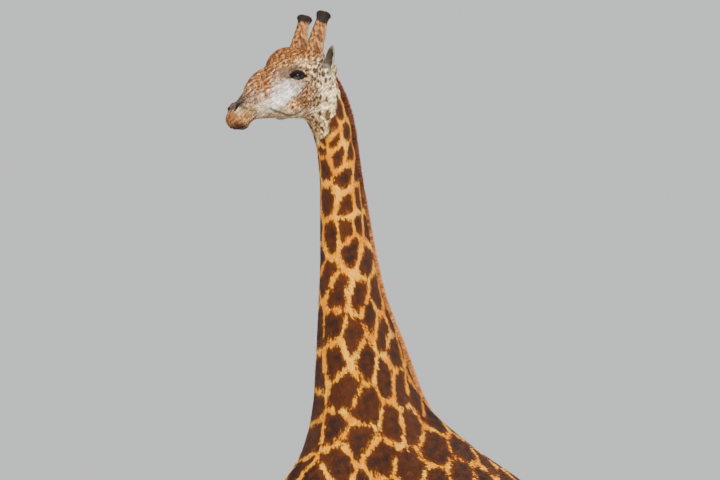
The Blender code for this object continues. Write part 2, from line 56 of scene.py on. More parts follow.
LAMPS = (  # name, place, size, watts, warmth
    ("key_lamp", (10.0, -6.0, 9.5), 5.0, 3000, (1.0, 0.96, 0.90)),
    ("fill_lamp", (-9.0, -6.0, 6.0), 7.0, 750, (0.95, 0.97, 1.0)),
    ("back_lamp", (2.0, 11.0, 9.0), 6.0, 1300, (1.0, 0.97, 0.93)),
)
ROOM_LIGHT, ROOM_STRENGTH = (0.94, 0.95, 0.96, 1), 0.80


def added(name, data):
    """A new object of this name in the scene."""
    thing = bpy.data.objects.new(name, data)
    bpy.context.scene.collection.objects.link(thing)
    return thing


def aimed(thing, where, looking_at):
    thing.location = where
    thing.rotation_mode = "QUATERNION"
    thing.rotation_quaternion = (looking_at - where).to_track_quat("-Z", "Y")
    return thing


def mesh_from(form, name):
    """A mesh of this name from a form under work, which is then let go."""
    mesh = bpy.data.meshes.new(name)
    form.to_mesh(mesh)
    form.free()
    return mesh


class Finish:
    """A material, with makers of the nodes that its look is built from."""

    def __init__(self, name):
        self.material = bpy.data.materials.new(name)
        self.material.use_nodes = True
        self.nodes, self.links = self.material.node_tree.nodes, self.material.node_tree.links

    def wire(self, target, inputs):
        for key, value in inputs.items():
            if isinstance(value, bpy.types.NodeSocket):
                self.links.new(value, target.inputs[key])
            else:
                target.inputs[key].default_value = value

    def shade(self, inputs):
        """Sets or links the shader's own sockets."""
        self.wire(self.nodes["Principled BSDF"], inputs)

    def node(self, kind, inputs=None, **settings):
        made = self.nodes.new("ShaderNode" + kind)
        for key, value in settings.items():
            setattr(made, key, value)
        self.wire(made, inputs or {})
        return made.outputs

    def noise(self, scale, detail, where=None, **more):
        """Noise over the object's own places, or over the places given."""
        if where is None:
            where = self.node("TexCoord")["Object"]
        return self.node("TexNoise", {"Vector": where, "Scale": scale, "Detail": detail, **more})["Fac"]

    def ranged(self, value, low, high, to_low, to_high):
        """A value carried from one range to another."""
        limits = {"From Min": low, "From Max": high, "To Min": to_low, "To Max": to_high}
        return self.node("MapRange", {"Value": value, **limits})["Result"]

    def ramp(self, value, lowest, highest, *between):
        """A colour that runs through these stops, each a place and a colour."""
        made = self.nodes.new("ShaderNodeValToRGB")
        self.links.new(value, made.inputs["Fac"])
        stops = made.color_ramp.elements
        for stop, (place, colour) in zip(stops, (lowest, highest)):
            stop.position, stop.color = place, (*colour, 1)
        for place, colour in between:
            stops.new(place).color = (*colour, 1)
        return made.outputs["Color"]

    def hide(self, shade):
        """The colour kept in the points of the mesh, times a shade."""
        kept = self.node("Attribute", attribute_name="hide")["Color"]
        return self.node("VectorMath", {0: kept, "Scale": shade}, operation="SCALE")["Vector"]

    def bump(self, height, strength, distance):
        return self.node("Bump", {"Height": height, "Strength": strength, "Distance": distance})["Normal"]


outward = Vector((math.sin(LOOK_FROM) * math.cos(LOOK_UP), -math.cos(LOOK_FROM) * math.cos(LOOK_UP), 0))
outward.z = math.sin(LOOK_UP)
eyepiece = bpy.data.cameras.new("camera")
eyepiece.lens, eyepiece.sensor_width, eyepiece.clip_end = LENS, FILM_WIDTH, FAR_LIMIT
bpy.context.scene.camera = aimed(added("camera", eyepiece), LOOK_AT + outward * LOOK_DISTANCE, LOOK_AT)

ground = bmesh.new()
bmesh.ops.create_grid(ground, x_segments=40, y_segments=40, size=FLOOR_HALF)
floor = added("floor", mesh_from(ground, "floor"))
pale = Finish("pale_floor")
mottle = pale.node("TexNoise", {"Scale": 1.5, "Detail": 5.0})["Fac"]
floor_tone = pale.ramp(mottle, (0, (0.60, 0.59, 0.57)), (1, (0.68, 0.67, 0.65)))
pale.shade({"Base Color": floor_tone, "Roughness": 0.8})
floor.data.materials.append(pale.material)

for name, place, size, watts, warmth in LAMPS:
    lamp = bpy.data.lights.new(name, "AREA")
    lamp.shape, lamp.size, lamp.energy, lamp.color = "DISK", size, watts, warmth
    aimed(added(name, lamp), Vector(place), LAMPS_AIM)
room = bpy.data.worlds.new("room")
room.use_nodes = True
room.node_tree.nodes["Background"].inputs["Color"].default_value = ROOM_LIGHT
room.node_tree.nodes["Background"].inputs["Strength"].default_value = ROOM_STRENGTH
bpy.context.scene.world = room

# ---- The skin ----
# One closed hide over head, neck, trunk, legs and tail, with no seam. It is remade from the
# solids of flesh as one body, evened where they are faceted, and drawn in by the coat's depth.
FLESH = ("head", "neck", "trunk", "tail", "foreleg_left", "foreleg_right", "hindleg_left", "hindleg_right")
HOOVES = ("hoof_fore_left", "hoof_fore_right", "hoof_hind_left", "hoof_hind_right")
SKIN_GRAIN = 0.0055
SEAM = 0.0012  # how far the solids swell to meet over the cuts between them
NO_SHIFT = Vector((1e-9, 0, 0))  # in effect none
SOFTENING = (  # passes of evening, and how much of them trunk, neck, legs, tail and head take
    (40, 1.0, 0.9, 0.45, 0.08, 0.14),
    (200, 1.0, 0.2, 0.04, 0.0, 0.0),
)
COAT_DEPTH, FACE_COAT = 0.0045, 0.0018
SKIN_KEPT = 0.145  # the share of faces left where the skin is smooth
LEG_TOP, RUMP_BACK = 1.9, 1.085  # what is below and before these belongs to a leg, not to the tail
LEG_RADIUS, LEG_SLICE, LEG_SLICES = 0.05, 0.03, 70

# Muscles and bones under the hide, the same on both sides: a rise (+) or hollow (-) along a line.
FORMS = (  # reach across, how far it stands out, places along it as (side, back, up)
    (0.060, 0.007, ((0.20, -0.15, 2.95), (0.30, -0.50, 2.45))),
    (0.045, -0.010, ((0.30, -0.02, 2.95), (0.36, -0.14, 2.60), (0.33, -0.24, 2.15))),
    (0.065, 0.010, ((0.30, -0.36, 2.08), (0.29, -0.33, 1.98))),
    (0.040, -0.008, ((0.33, -0.62, 2.42), (0.33, -0.50, 2.22), (0.32, -0.42, 2.10))),
    (0.075, 0.010, ((0.22, -0.80, 2.50), (0.26, -0.76, 2.42))),
    (0.040, -0.010, ((0.00, -0.94, 2.60), (0.00, -0.88, 2.15))),
    (0.130, -0.014, ((0.38, 0.56, 2.44), (0.38, 0.60, 2.34))),
    (0.060, 0.012, ((0.27, 0.64, 2.66), (0.31, 0.70, 2.58))),
    (0.045, -0.009, ((0.39, 0.44, 2.20), (0.35, 0.60, 1.98))),
    (0.035, -0.008, ((0.33, 0.86, 2.52), (0.33, 0.93, 2.15), (0.27, 0.92, 1.80))),
    (0.030, -0.006, ((0.055, -0.64, 4.50), (0.085, -0.60, 3.90), (0.14, -0.62, 3.25), (0.20, -0.78, 2.75))),
    (0.035, -0.005, ((0.060, -0.44, 4.50), (0.080, -0.40, 4.00), (0.12, -0.28, 3.50), (0.20, -0.08, 3.10))),
    (0.016, -0.006, ((0.175, -0.36, 3.30), (0.190, -0.45, 3.20), (0.200, -0.65, 3.00), (0.205, -0.76, 2.80))),
    (0.012, -0.004, ((0.170, -0.46, 3.28), (0.185, -0.58, 3.14), (0.190, -0.70, 2.96))),
    (0.014, -0.005, ((0.215, -0.30, 3.12), (0.230, -0.50, 2.98), (0.230, -0.70, 2.76))),
)
RIBS = tuple(
    (0.020, 0.003, ((0.36, y, 2.72), (0.40, y + 0.05, 2.40), (0.37, y + 0.04, 2.12)))
    for y in np.arange(0.0, 0.50, 0.085)
)
LEG_FORMS = (  # the same, as (turn from the front in degrees, height); it follows each leg's own surface
    (0.016, -0.005, ((95, 0.34), (100, 0.55), (100, 0.84))),
    (0.014, 0.003, ((140, 0.34), (150, 0.60), (150, 0.84))),
    (0.030, -0.006, ((70, 1.18), (100, 1.40), (110, 1.70))),
    (0.012, -0.004, ((-40, 1.00), (0, 1.03), (40, 1.00))),
    (0.012, -0.004, ((-40, 0.89), (0, 0.87), (40, 0.89))),
    (0.020, 0.005, ((75, 0.96), (85, 0.93))),
    (0.010, -0.004, ((-60, 0.285), (0, 0.275), (60, 0.285))),
    (0.010, -0.003, ((-70, 0.165), (0, 0.160), (70, 0.165))),
)


def settled(thing):
    """Applies the modifiers for good."""
    bpy.context.view_layer.update()
    graph = bpy.context.evaluated_depsgraph_get()
    made = bpy.data.meshes.new_from_object(thing.evaluated_get(graph))
    thing.modifiers.clear()
    thing.data = made
    return thing


def remade(name, nodes, grain, root_shift=None):
    """One closed form over the solids of these nodes, in square faces of about the grain."""
    form = bmesh.new()
    for shift in (NO_SHIFT, root_shift) if root_shift else (NO_SHIFT,):
        for node in nodes:
            first = len(form.verts)
            form.from_mesh(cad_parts[node].data)
            form.verts.ensure_lookup_table()
            form.normal_update()
            for v in form.verts[first:]:
                v.co += v.normal * SEAM + shift
    thing = added(name, mesh_from(form, name))
    again = thing.modifiers.new("again", "REMESH")
    again.mode, again.voxel_size = "VOXEL", grain
    return settled(thing)


def rows_of(items, key, kind=np.float32):
    """What the points or faces of a mesh hold under this key, as rows of three."""
    flat = np.empty(len(items) * 3, kind)
    items.foreach_get(key, flat)
    return flat.reshape(-1, 3)


def points_of(mesh):
    return rows_of(mesh.vertices, "co").astype(float)


def normals_of(mesh):
    return rows_of(mesh.vertex_normals, "vector").astype(float)


def faces_of(mesh):
    return rows_of(mesh.polygons, "vertices", np.int32)


def move_to(mesh, points):
    mesh.vertices.foreach_set("co", points.astype(np.float32).ravel())
    mesh.update()


def graded(thing, name, weights, levels=24):
    """A vertex group with these weights, in even levels."""
    group = thing.vertex_groups.new(name=name)
    level = np.round(np.clip(weights, 0, 1) * levels).astype(int)
    for n in range(1, levels + 1):
        group.add(np.nonzero(level == n)[0].tolist(), n / levels, "REPLACE")
    return name


def evened(thing, passes, weights=None):
    """Draws each point half of the way to the middle of its neighbours, again and again."""
    even = thing.modifiers.new("even", "SMOOTH")
    even.iterations, even.factor = passes, 0.5
    if weights is not None:
        even.vertex_group = graded(thing, "softness", weights)
    settled(thing)
    thing.vertex_groups.clear()


def step(value, low, high):
    """0 below low, 1 above high, and a smooth rise between them."""
    t = np.clip((value - low) / (high - low), 0, 1)
    return t * t * (3 - 2 * t)


def fall(distance, reach):
    """1 at no distance, and fading smoothly to nothing past the reach."""
    return np.exp(-((distance / reach) ** 2))


def to_line(points, path):
    """How far each point is from a bent line, and how far along it the nearest place is, 0 to 1."""
    path = np.array(path, float)
    lengths = np.linalg.norm(np.diff(path, axis=0), axis=1)
    starts = np.concatenate([[0], np.cumsum(lengths)])
    best, along = np.full(len(points), np.inf), np.zeros(len(points))
    for start, end, length, before in zip(path[:-1], path[1:], lengths, starts):
        t = np.clip((points - start) @ (end - start) / length**2, 0, 1)
        away = np.linalg.norm(points - start - t[:, None] * (end - start), axis=1)
        near = away < best
        best[near], along[near] = away[near], ((before + t * length) / starts[-1])[near]
    return best, along


def along_path(places, path, reach, height):
    """A rise or hollow along a path that fades out at both ends, at each place."""
    away, along = to_line(places, path)
    return height * fall(away, reach) * step(along, -0.01, 0.12) * (1 - step(along, 0.88, 1.01))


eye_at = {side: sum(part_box("eye_" + side), Vector()) / 2 for side in ("left", "right")}
EYE_RADIUS = (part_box("eye_left")[1].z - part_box("eye_left")[0].z) / 2
head_mid = (eye_at["left"] + eye_at["right"]) / 2
head_left = (eye_at["left"] - eye_at["right"]).normalized()
head_front = head_left.cross(Vector((0, 0, 1))).normalized()
HEAD_AXES = LEFT, FRONT, UP = np.array([head_left, head_front, (0, 0, 1)])


def in_head(points):
    """Places from the midpoint between the eyes, as (side, front, up)."""
    return (points - np.array(head_mid)) @ HEAD_AXES.T


def headness(points):
    """1 on the head, 0 on the neck."""
    _, front, height = in_head(points).T
    return step(front + 0.9 * height, -0.42, -0.30) * step(points[:, 2], 4.55, 4.66)


def about_leg(points):
    """Which leg each point is on (0 none, 1 to 4), and its turn round it in degrees, outward positive."""
    leg, turn = np.zeros(len(points), int), np.zeros(len(points))
    heights = (np.arange(LEG_SLICES) + 0.5) * LEG_SLICE
    for n, (side, back) in enumerate(((1, -1), (-1, -1), (1, 1), (-1, 1)), 1):
        ours = (points[:, 2] < LEG_TOP) & (points[:, 1] < RUMP_BACK)
        ours &= (points[:, 0] * side > 0) & ((points[:, 1] - 0.15) * back > 0)
        leg[ours] = n
        x, y, z = points[ours].T
        level = (z / LEG_SLICE).astype(int)
        count = np.maximum(np.bincount(level, minlength=LEG_SLICES), 1)
        from_middle = []
        for place in (x, y):
            middle = np.where(count > 3, np.bincount(level, place, LEG_SLICES) / count, np.nan)
            from_middle.append(place - np.interp(z, heights, middle))
        turn[ours] = np.degrees(np.arctan2(side * from_middle[0], -from_middle[1]))
    return leg, np.nan_to_num(turn)


skin = remade("skin", FLESH + HOOVES + ("eye_left", "eye_right"), SKIN_GRAIN)
points = points_of(skin.data)
y, z = points[:, 1], points[:, 2]
on_neck = step(z, 2.9, 3.3) * step(-y, -0.1, 0.2)
on_legs = 1 - step(z, 1.55, 2.05)
on_tail = step(y, 1.02, 1.06)
on_head = headness(points)
for passes, softness, *others in SOFTENING:
    for share, there in zip(others, (on_neck, on_legs, on_tail, on_head)):
        softness = softness * (1 - there) + share * there
    evened(skin, passes, softness)

points, normals = points_of(skin.data), normals_of(skin.data)
on_head = headness(points)
mirrored = np.abs(points * (1, 0, 0)) + points * (0, 1, 1)
rise = np.zeros(len(points))
for reach, height, path in FORMS + RIBS:
    low, high = np.min(path, 0) - 3 * reach, np.max(path, 0) + 3 * reach
    near = np.nonzero(((mirrored > low) & (mirrored < high)).all(1))[0]
    rise[near] += along_path(mirrored[near], path, reach, height)
rise *= 1 - on_head
leg, turn = about_leg(points)
for reach, height, path in LEG_FORMS:
    path = np.array([(math.radians(turned_by) * LEG_RADIUS, up) for turned_by, up in path])
    low, high = path[:, 1].min() - 3 * reach, path[:, 1].max() + 3 * reach
    near = np.nonzero((leg > 0) & (points[:, 2] > low) & (points[:, 2] < high))[0]
    flat = np.stack([np.radians(turn[near]) * LEG_RADIUS, points[near, 2]], 1)
    rise[near] += along_path(flat, path, reach, height)
points += normals * (rise - COAT_DEPTH * (1 - on_head) - FACE_COAT * on_head)[:, None]
move_to(skin.data, points)

fewer = skin.modifiers.new("fewer", "DECIMATE")
kept = np.maximum(on_head, 0.5 * step(points[:, 2], 2.7, 3.0) * step(-points[:, 1], -0.2, 0.1))
fewer.vertex_group, fewer.vertex_group_factor = graded(skin, "fewer", 1 - kept), 0.00001
fewer.ratio = SKIN_KEPT
settled(skin)
skin.vertex_groups.clear()

# ---- The face: lids, nostrils, lips and folds of the same skin ----
# The hide is made finer round the eyes, the nostrils and the mouth, and is then opened and
# folded there. Places are given from the midpoint between the eyes, as (side, front, up).
EYE_OUT = Vector((0.95, 0.30, 0.0)).normalized()
EYE_ACROSS = Vector((-EYE_OUT.y, EYE_OUT.x, 0))
EYE_HALF, LID_UP, LID_DOWN = 0.031, 0.0165, 0.0140
LID_GAP, LID_SWELL, LID_FADE = 0.0012, 0.0032, (0.010, 0.022)
TEAR_DIP = (0.105, 0.062, -0.014)
NOSTRIL = ((0.032, 0.325, -0.188), (0.045, 0.317, -0.166), (0.051, 0.304, -0.150), (0.051, 0.288, -0.138))
MOUTH = (
    (0.0, 0.318, -0.262),
    (0.028, 0.296, -0.266),
    (0.044, 0.258, -0.252),
    (0.050, 0.225, -0.232),
    (0.062, 0.160, -0.204),
)
UNDER_CHEEK = (
    (0.066, 0.150, -0.158),
    (0.068, 0.120, -0.180),
    (0.064, 0.070, -0.196),
    (0.078, 0.020, -0.202),
    (0.092, -0.030, -0.180),
    (0.102, -0.060, -0.150),
)
JAW_EDGE = ((0.092, -0.095, -0.020), (0.088, -0.115, -0.090), (0.080, -0.080, -0.160))
FACE_CREST = ((0.098, 0.070, -0.035), (0.078, 0.140, -0.066), (0.060, 0.205, -0.100))
BROW = ((0.095, 0.060, 0.060), (0.120, 0.015, 0.062), (0.126, -0.030, 0.056), (0.118, -0.065, 0.036))
UNDER_BROW = ((0.116, 0.058, 0.020), (0.130, 0.020, 0.038), (0.134, -0.020, 0.036), (0.124, -0.056, 0.014))
UNDER_EYE = ((0.116, 0.050, -0.020), (0.130, 0.014, -0.036), (0.130, -0.026, -0.034), (0.118, -0.052, -0.018))
# folds in rows: the first of the row, and how far the next one lies from it
THROAT = ((0.030, -0.040, -0.232), (0.064, -0.072, -0.208), (0.086, -0.137, -0.150))
THROAT_NEXT = ((0, -0.017, -0.016), (0, -0.017, -0.016), (0, -0.013, -0.018))
MUZZLE = ((0.020, 0.282, -0.096), (0.046, 0.262, -0.122), (0.054, 0.246, -0.154))
MUZZLE_NEXT = ((0, -0.016, -0.007), (0, -0.016, -0.010), (0, -0.016, -0.010))
WHISKERS = ((0.052, 0.318, -0.192), (0.066, 0.270, -0.190), (0.068, 0.225, -0.182))
WHISKERS_NEXT = ((0, 0, -0.012), (0, 0, -0.013), (0, 0, -0.010))
WRINKLES = ((0.114, 0.055, -0.030), (0.094, 0.125, -0.062), (0.070, 0.205, -0.098))
WRINKLES_NEXT = ((0, 0, -0.015), (0, 0, -0.013), (0, 0, -0.011))


def side_by_side(count, path, shift, depth, width, lip):
    """Like folds in a row."""
    return [(np.array(path) + n * np.array(shift), depth, width, lip) for n in range(count)]


FOLDS = [  # path, depth, width, and the rise of its lips; a ridge has a depth below nothing
    (NOSTRIL, 0.018, 0.0095, 0.006),
    (MOUTH, 0.006, 0.0045, 0.003),
    (UNDER_CHEEK, 0.0060, 0.008, 0.003),
    (JAW_EDGE, 0.0030, 0.012, 0.0),
    (FACE_CREST, -0.0060, 0.012, 0.0),
    (BROW, -0.0060, 0.013, 0.0),
    (UNDER_BROW, 0.0042, 0.007, 0.0015),
    (UNDER_EYE, 0.0020, 0.004, 0.001),
    *side_by_side(7, THROAT, THROAT_NEXT, 0.0090, 0.0046, 0.002),
    *side_by_side(6, MUZZLE, MUZZLE_NEXT, 0.0010, 0.0026, 0.0006),
    *side_by_side(5, WHISKERS, WHISKERS_NEXT, 0.0010, 0.0024, 0.0008),
    *side_by_side(7, WRINKLES, WRINKLES_NEXT, 0.0022, 0.0032, 0.0010),
]
eye_mid = abs((eye_at["left"] - head_mid).dot(head_left))


def of_face(points):
    """Places in the head, with both sides folded onto the left."""
    face = in_head(points)
    face[:, 0] = np.abs(face[:, 0])
    return face


def about_eye(face):
    """From the eye's middle: outward, forward along the lids, up, and the way out from the lids' edge."""
    away = face - np.array((eye_mid, 0, 0))
    out, across, up = away @ np.array(EYE_OUT), away @ np.array(EYE_ACROSS), away[:, 2]
    t = np.clip(across / EYE_HALF, -1, 1)
    top = LID_UP * (1 - t * t) ** 0.65 - 0.002 * t
    bottom = -LID_DOWN * (1 - t * t) ** 0.75 - 0.002 * t
    beyond = np.maximum(np.maximum(up - top, bottom - up), 0)
    edge = np.where((up < top) & (up > bottom), -np.minimum(top - up, up - bottom), beyond)
    past_corner = np.maximum(np.abs(across) - EYE_HALF, 0)
    edge = np.hypot(np.maximum(edge, 0), past_corner) + np.minimum(edge, 0)
    return out, across, up, edge


form = bmesh.new()
form.from_mesh(skin.data)
for eye_reach, nostril_reach, mouth_reach in ((0.030, 0.026, 0.016), (0.009, 0.016, 0)):
    form.verts.ensure_lookup_table()
    face = of_face(np.array([v.co for v in form.verts]))
    out, _, _, edge = about_eye(face)
    fine = (edge < eye_reach) & (out > 0.0) & (np.abs(face[:, 1]) < 0.08)
    fine |= to_line(face, NOSTRIL)[0] < nostril_reach
    fine |= to_line(face, MOUTH)[0] < mouth_reach
    fine &= face[:, 2] > -0.4
    chosen = [e for e in form.edges if fine[e.verts[0].index] and fine[e.verts[1].index]]
    bmesh.ops.subdivide_edges(form, edges=chosen, cuts=1, use_grid_fill=True)
    bmesh.ops.triangulate(form, faces=[f for f in form.faces if len(f.verts) > 4])
bmesh.ops.triangulate(form, faces=form.faces[:])
form.to_mesh(skin.data)
form.free()

points, normals, faces = points_of(skin.data), normals_of(skin.data), faces_of(skin.data)
face = of_face(points)
left_face = (in_head(points)[:, 0] > -0.003) & (face[:, 1] > -0.36) & (face[:, 2] > -0.45)
face_tree = BVHTree.FromPolygons(face.tolist(), faces[left_face[faces].all(1)].tolist())


def on_hide(path):
    """The same path in short steps, each laid on the hide."""
    path = np.array(path)
    steps = np.linspace(0, len(path) - 1, 7 * (len(path) - 1) + 1)
    rows = np.stack([np.interp(steps, range(len(path)), path[:, k]) for k in range(3)], 1)
    return [tuple(face_tree.find_nearest(row)[0]) for row in rows.tolist()]


folds = [(on_hide(path), depth, width, lip) for path, depth, width, lip in FOLDS]
nostril_line, mouth_line = folds[0][0], folds[1][0]


def folded(face):
    """How far the folds sink the skin at each place in the face; lips and ridges are below nothing."""
    sunk = np.zeros(len(face))
    for path, depth, width, lip in folds:
        low, high = np.min(path, 0) - 4 * width, np.max(path, 0) + 4 * width
        near = np.nonzero(((face > low) & (face < high)).all(1))[0]
        away, along = to_line(face[near], path)
        ends = step(along, -0.02, 0.15) * (1 - step(along, 0.85, 1.02))
        sunk[near] += (depth * fall(away, width) - lip * fall(away - 2.0 * width, width)) * ends
    return sunk


def in_nostril(face):
    """How far inside the edge of the nostril's opening each place is; it is widest at its middle."""
    away, along = to_line(face, nostril_line)
    return 0.0030 + 0.0110 * np.sin(math.pi * np.clip(along, 0, 1)) ** 0.7 - away


near_head = np.nonzero((face[:, 1] > -0.33) & (face[:, 2] > -0.42))[0]
sunk = folded(face[near_head]) + 0.005 * fall(np.linalg.norm(face[near_head] - TEAR_DIP, axis=1), 0.030)
points[near_head] -= normals[near_head] * sunk[:, None]

# the lids wrap the eyeball, and the gap between them is drawn in behind it
face = of_face(points)
out, _, up, edge = about_eye(face)
from_eye = face - (eye_mid, 0, 0)
span = np.linalg.norm(from_eye, axis=1)
around = (out > 0.010) & (span < 0.075) & (edge < LID_FADE[1])
wrapped = EYE_RADIUS + LID_GAP + LID_SWELL * fall(edge - 0.004, 0.0045)
wrapped += 0.002 * fall(edge - 0.006, 0.006) * (up > 0)
away = step(edge, *LID_FADE)
new_span = np.where(edge < 0, EYE_RADIUS * 0.80, wrapped * (1 - away) + span * away)
moved = from_eye * (new_span / np.maximum(span, 1e-6))[:, None] + (eye_mid, 0, 0)
moved[:, 0] *= np.sign(in_head(points)[:, 0])
points[around] = (moved @ HEAD_AXES + np.array(head_mid))[around]
move_to(skin.data, points)
skin.data.shade_smooth()
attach(skin, "root")
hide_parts(*FLESH)

# ---- The markings ----
# Dark patches parted by a net of golden tan, as in the southern giraffe. Their middles are
# scattered evenly over the hide, close together on the legs and high on the neck and wider apart
# on the trunk. The head is pale below and rusty above, with small flecks in place of patches.
# On the face, painted shade with some dirt darkens the folds, and painted shade fills the nostrils and lies
# before the eye, under the brow and at the inner brow.
LEVELS = (0.00, 0.20, 0.60, 1.00, 1.40, 1.80, 2.20, 2.80, 3.00, 3.30, 3.60, 4.00, 4.40, 4.70, 5.30)
PATCH_TALL = (.055, .060, .078, .095, .115, .138, .160, .160, .168, .205, .205, .165, .134, .105, .080)
PATCH_WIDE = (.045, .050, .060, .072, .090, .116, .158, .158, .146, .134, .122, .104, .090, .076, .070)
GAP_HALF = (.130, .120, .110, .100, .090, .075, .062, .062, .066, .078, .088, .100, .118, .125, .125)
PATCH_ROOM = 0.80  # between the middles of patches, where a patch is about 1 across
EDGE_SHARPNESS = 24
TRIAL_MIDDLES, SURE_NEIGHBOURS = 26000, 4
FLECK_STRETCH = np.array((1.0, 1.0, 0.56))
HEAD_COAT_FROM, FLECKS_FROM = (-0.44, 4.38), (-0.38, 4.45)  # front in the head, height
# the second is how deep a fold sinks before its painted shade is nearly full
PATCH_EVEN, FOLD_FADE = 0.015, 0.0032
FACE_TINTS = {  # its middle in centimetres, its reach, its colour, and how thick its flecks are
    "crown": ((5, 3, 13), 5, (154, 101, 59), 1.00),
    "middle of the crown": ((0, 7, 12), 5, (150, 98, 58), 1.00),
    "foot of the horns": ((10, -7, 14), 4, (152, 102, 58), 1.00),
    "poll": ((3, -14, 10), 5, (162, 112, 66), 0.90),
    "bridge": ((2, 16, 2), 4, (158, 110, 69), 1.00),
    "lower bridge": ((2, 24, -6), 4, (156, 119, 86), 0.75),
    "nose": ((2, 29, -11), 3.5, (92, 76, 66), 0.45),
    "rusty patch": ((6, 18, -5), 2.8, (168, 110, 62), 0.80),
    # painted shade at the inner brow
    "shade at the inner brow": ((8, 11, 1), 2.5, (140, 108, 82), 0.40),
    "outer brow": ((8, 6, 7), 2.8, (180, 132, 84), 0.80),
    "arch over the eye": ((12, -2, 7), 2.6, (222, 180, 128), 0.45),
    "end of the arch": ((13, -7, 5), 2.4, (200, 160, 114), 0.70),
    # painted shade before the eye and under the brow
    "shade before the eye": ((10, 7, 1), 2.0, (116, 94, 78), 0.05),
    "shade under the brow": ((12, 1, 4), 1.6, (120, 98, 82), 0.05),
    "tear line": ((9, 11, -3), 2.2, (178, 150, 122), 0.25),
    "under the eye": ((13, 2, -6), 2.6, (184, 168, 154), 0.10),
    "upper cheek": ((10, 9, -7), 2.4, (204, 188, 170), 0.10),
    "cheek": ((11, 7, -10), 3.4, (248, 244, 238), 0.0),
    "front of the cheek": ((8, 12, -14), 3.0, (240, 232, 220), 0.0),
    "side of the muzzle": ((7, 18, -10), 3.0, (182, 148, 114), 0.50),
    "over the nostril": ((6, 25, -13), 2.8, (148, 120, 98), 0.45),
    "rim of the nostril": ((5, 31, -15), 2.6, (92, 78, 70), 0.0),
    "front of the nose": ((0, 31, -14), 3, (98, 82, 72), 0.0),
    "under the nostril": ((5, 31, -19), 1.8, (212, 186, 142), 0.0),
    "side of the mouth": ((7, 25, -18), 2.6, (162, 130, 98), 0.35),
    "behind the mouth": ((7, 17, -16), 3, (206, 186, 160), 0.10),
    "upper lip": ((6, 28, -22), 2.6, (180, 136, 88), 0.30),
    "front of the lip": ((3, 34, -23), 2.6, (146, 97, 58), 0.15),
    "edge of the lip": ((4, 30, -27), 2.0, (76, 52, 38), 0.0),
    "chin": ((3, 23, -26), 2.4, (104, 80, 62), 0.0),
    "edge of the jaw": ((5, 9, -21), 4, (164, 141, 112), 0.10),
    "under the jaw": ((0, 4, -23), 8, (172, 150, 122), 0.10),
    "jaw": ((11, 3, -14), 2.6, (190, 136, 80), 0.75),
    "corner of the jaw": ((11, -4, -12), 3.0, (142, 100, 66), 0.80),
    "behind the jaw": ((10, -12, -12), 3.4, (188, 157, 121), 0.65),
    "back of the cheek": ((12, -6, -7), 2.6, (156, 118, 86), 0.80),
    "behind the eye": ((13, -8, -1), 2.8, (188, 156, 122), 1.15),
    "temple": ((12, -12, 4), 3.4, (218, 192, 158), 1.25),
    "foot of the ear": ((9, -18, 5), 4, (212, 192, 160), 0.90),
    "side of the throat": ((10, -19, -5), 4, (224, 197, 154), 0.48),
    "throat": ((8, -16, -17), 4, (208, 180, 140), 0.48),
    "top of the neck": ((8, -24, -13), 6, (230, 204, 160), 0.48),
    "front of the throat": ((1, -15, -24), 5, (178, 143, 108), 0.45),
    "nape": ((4, -24, 0), 6, (200, 166, 124), 0.80),
    "low on the throat": ((3, -17, -36), 5, (222, 195, 152), 0.45),
    "low on its side": ((9, -24, -28), 6, (230, 202, 156), 0.45),
}


def paint(red, green, blue):
    """A colour given on a 0 to 255 scale, as the light-linear values that shaders take."""
    return ((np.array((red, green, blue)) / 255 + 0.055) / 1.055) ** 2.4


GOLD, PALE_GOLD, BELLY = paint(214, 142, 66), paint(238, 184, 108), paint(232, 212, 176)
PATCH, PATCH_RIM, PATCH_DEEP = paint(80, 45, 28), paint(118, 66, 34), paint(46, 29, 23)
FLECK, RUSTY_FLECK = paint(60, 36, 25), paint(78, 46, 30)
# painted shade with some dirt in the folds, painted shade in the openings of the nostrils, and the bare dark
# skin round the eyes
FOLD_SHADE_AND_DIRT, NOSTRIL_SHADE, LID_DARK = paint(46, 33, 28), paint(20, 16, 15), paint(30, 23, 21)
HOOF_SKIN = paint(38, 31, 27)
GREY_WEIGHTS = np.array((0.30, 0.59, 0.11))
SATURATION, HEAD_SATURATION, BRIGHTNESS = 1.26, 1.06, 0.90
dice = np.random.default_rng(2)


def mixed(one, other, share):
    return one + (other - one) * share[:, None]


def grey_of(colours):
    return colours @ GREY_WEIGHTS


def ripple(points, size, seed, octaves=2):
    """Smooth wandering values, about -1 to 1, that change over this size."""
    own_dice, total, share = np.random.default_rng(seed), np.zeros(len(points)), 0.62
    for octave in range(octaves):
        for _ in range(7):
            way = own_dice.normal(size=3)
            way *= 2**octave * own_dice.uniform(3.6, 7.5) / size / np.linalg.norm(way)
            total += share / 2.0 * np.sin(points @ way + own_dice.uniform(0, 6.3))
        share *= 0.5
    return total


def drift(points, size, seeds, octaves=1):
    """The same, as a way in space."""
    return np.stack([ripple(points, size, seed, octaves) for seed in seeds], 1)


fine_levels = np.linspace(-0.1, 5.4, 1101)
level_step = fine_levels[1] - fine_levels[0]
tall = np.interp(fine_levels[1:] - level_step / 2, LEVELS, PATCH_TALL)
climb = np.concatenate([[0], np.cumsum(level_step / tall)])


def unrolled(points):
    """Places in a space in which all patches are about 1 across."""
    x, y, z = (points + drift(points, 0.30, (21, 22, 23)) * 0.012).T
    wide = np.interp(z, LEVELS, PATCH_WIDE)
    return np.stack([x / wide, (y + 0.1) / wide, np.interp(z, fine_levels, climb)], 1)


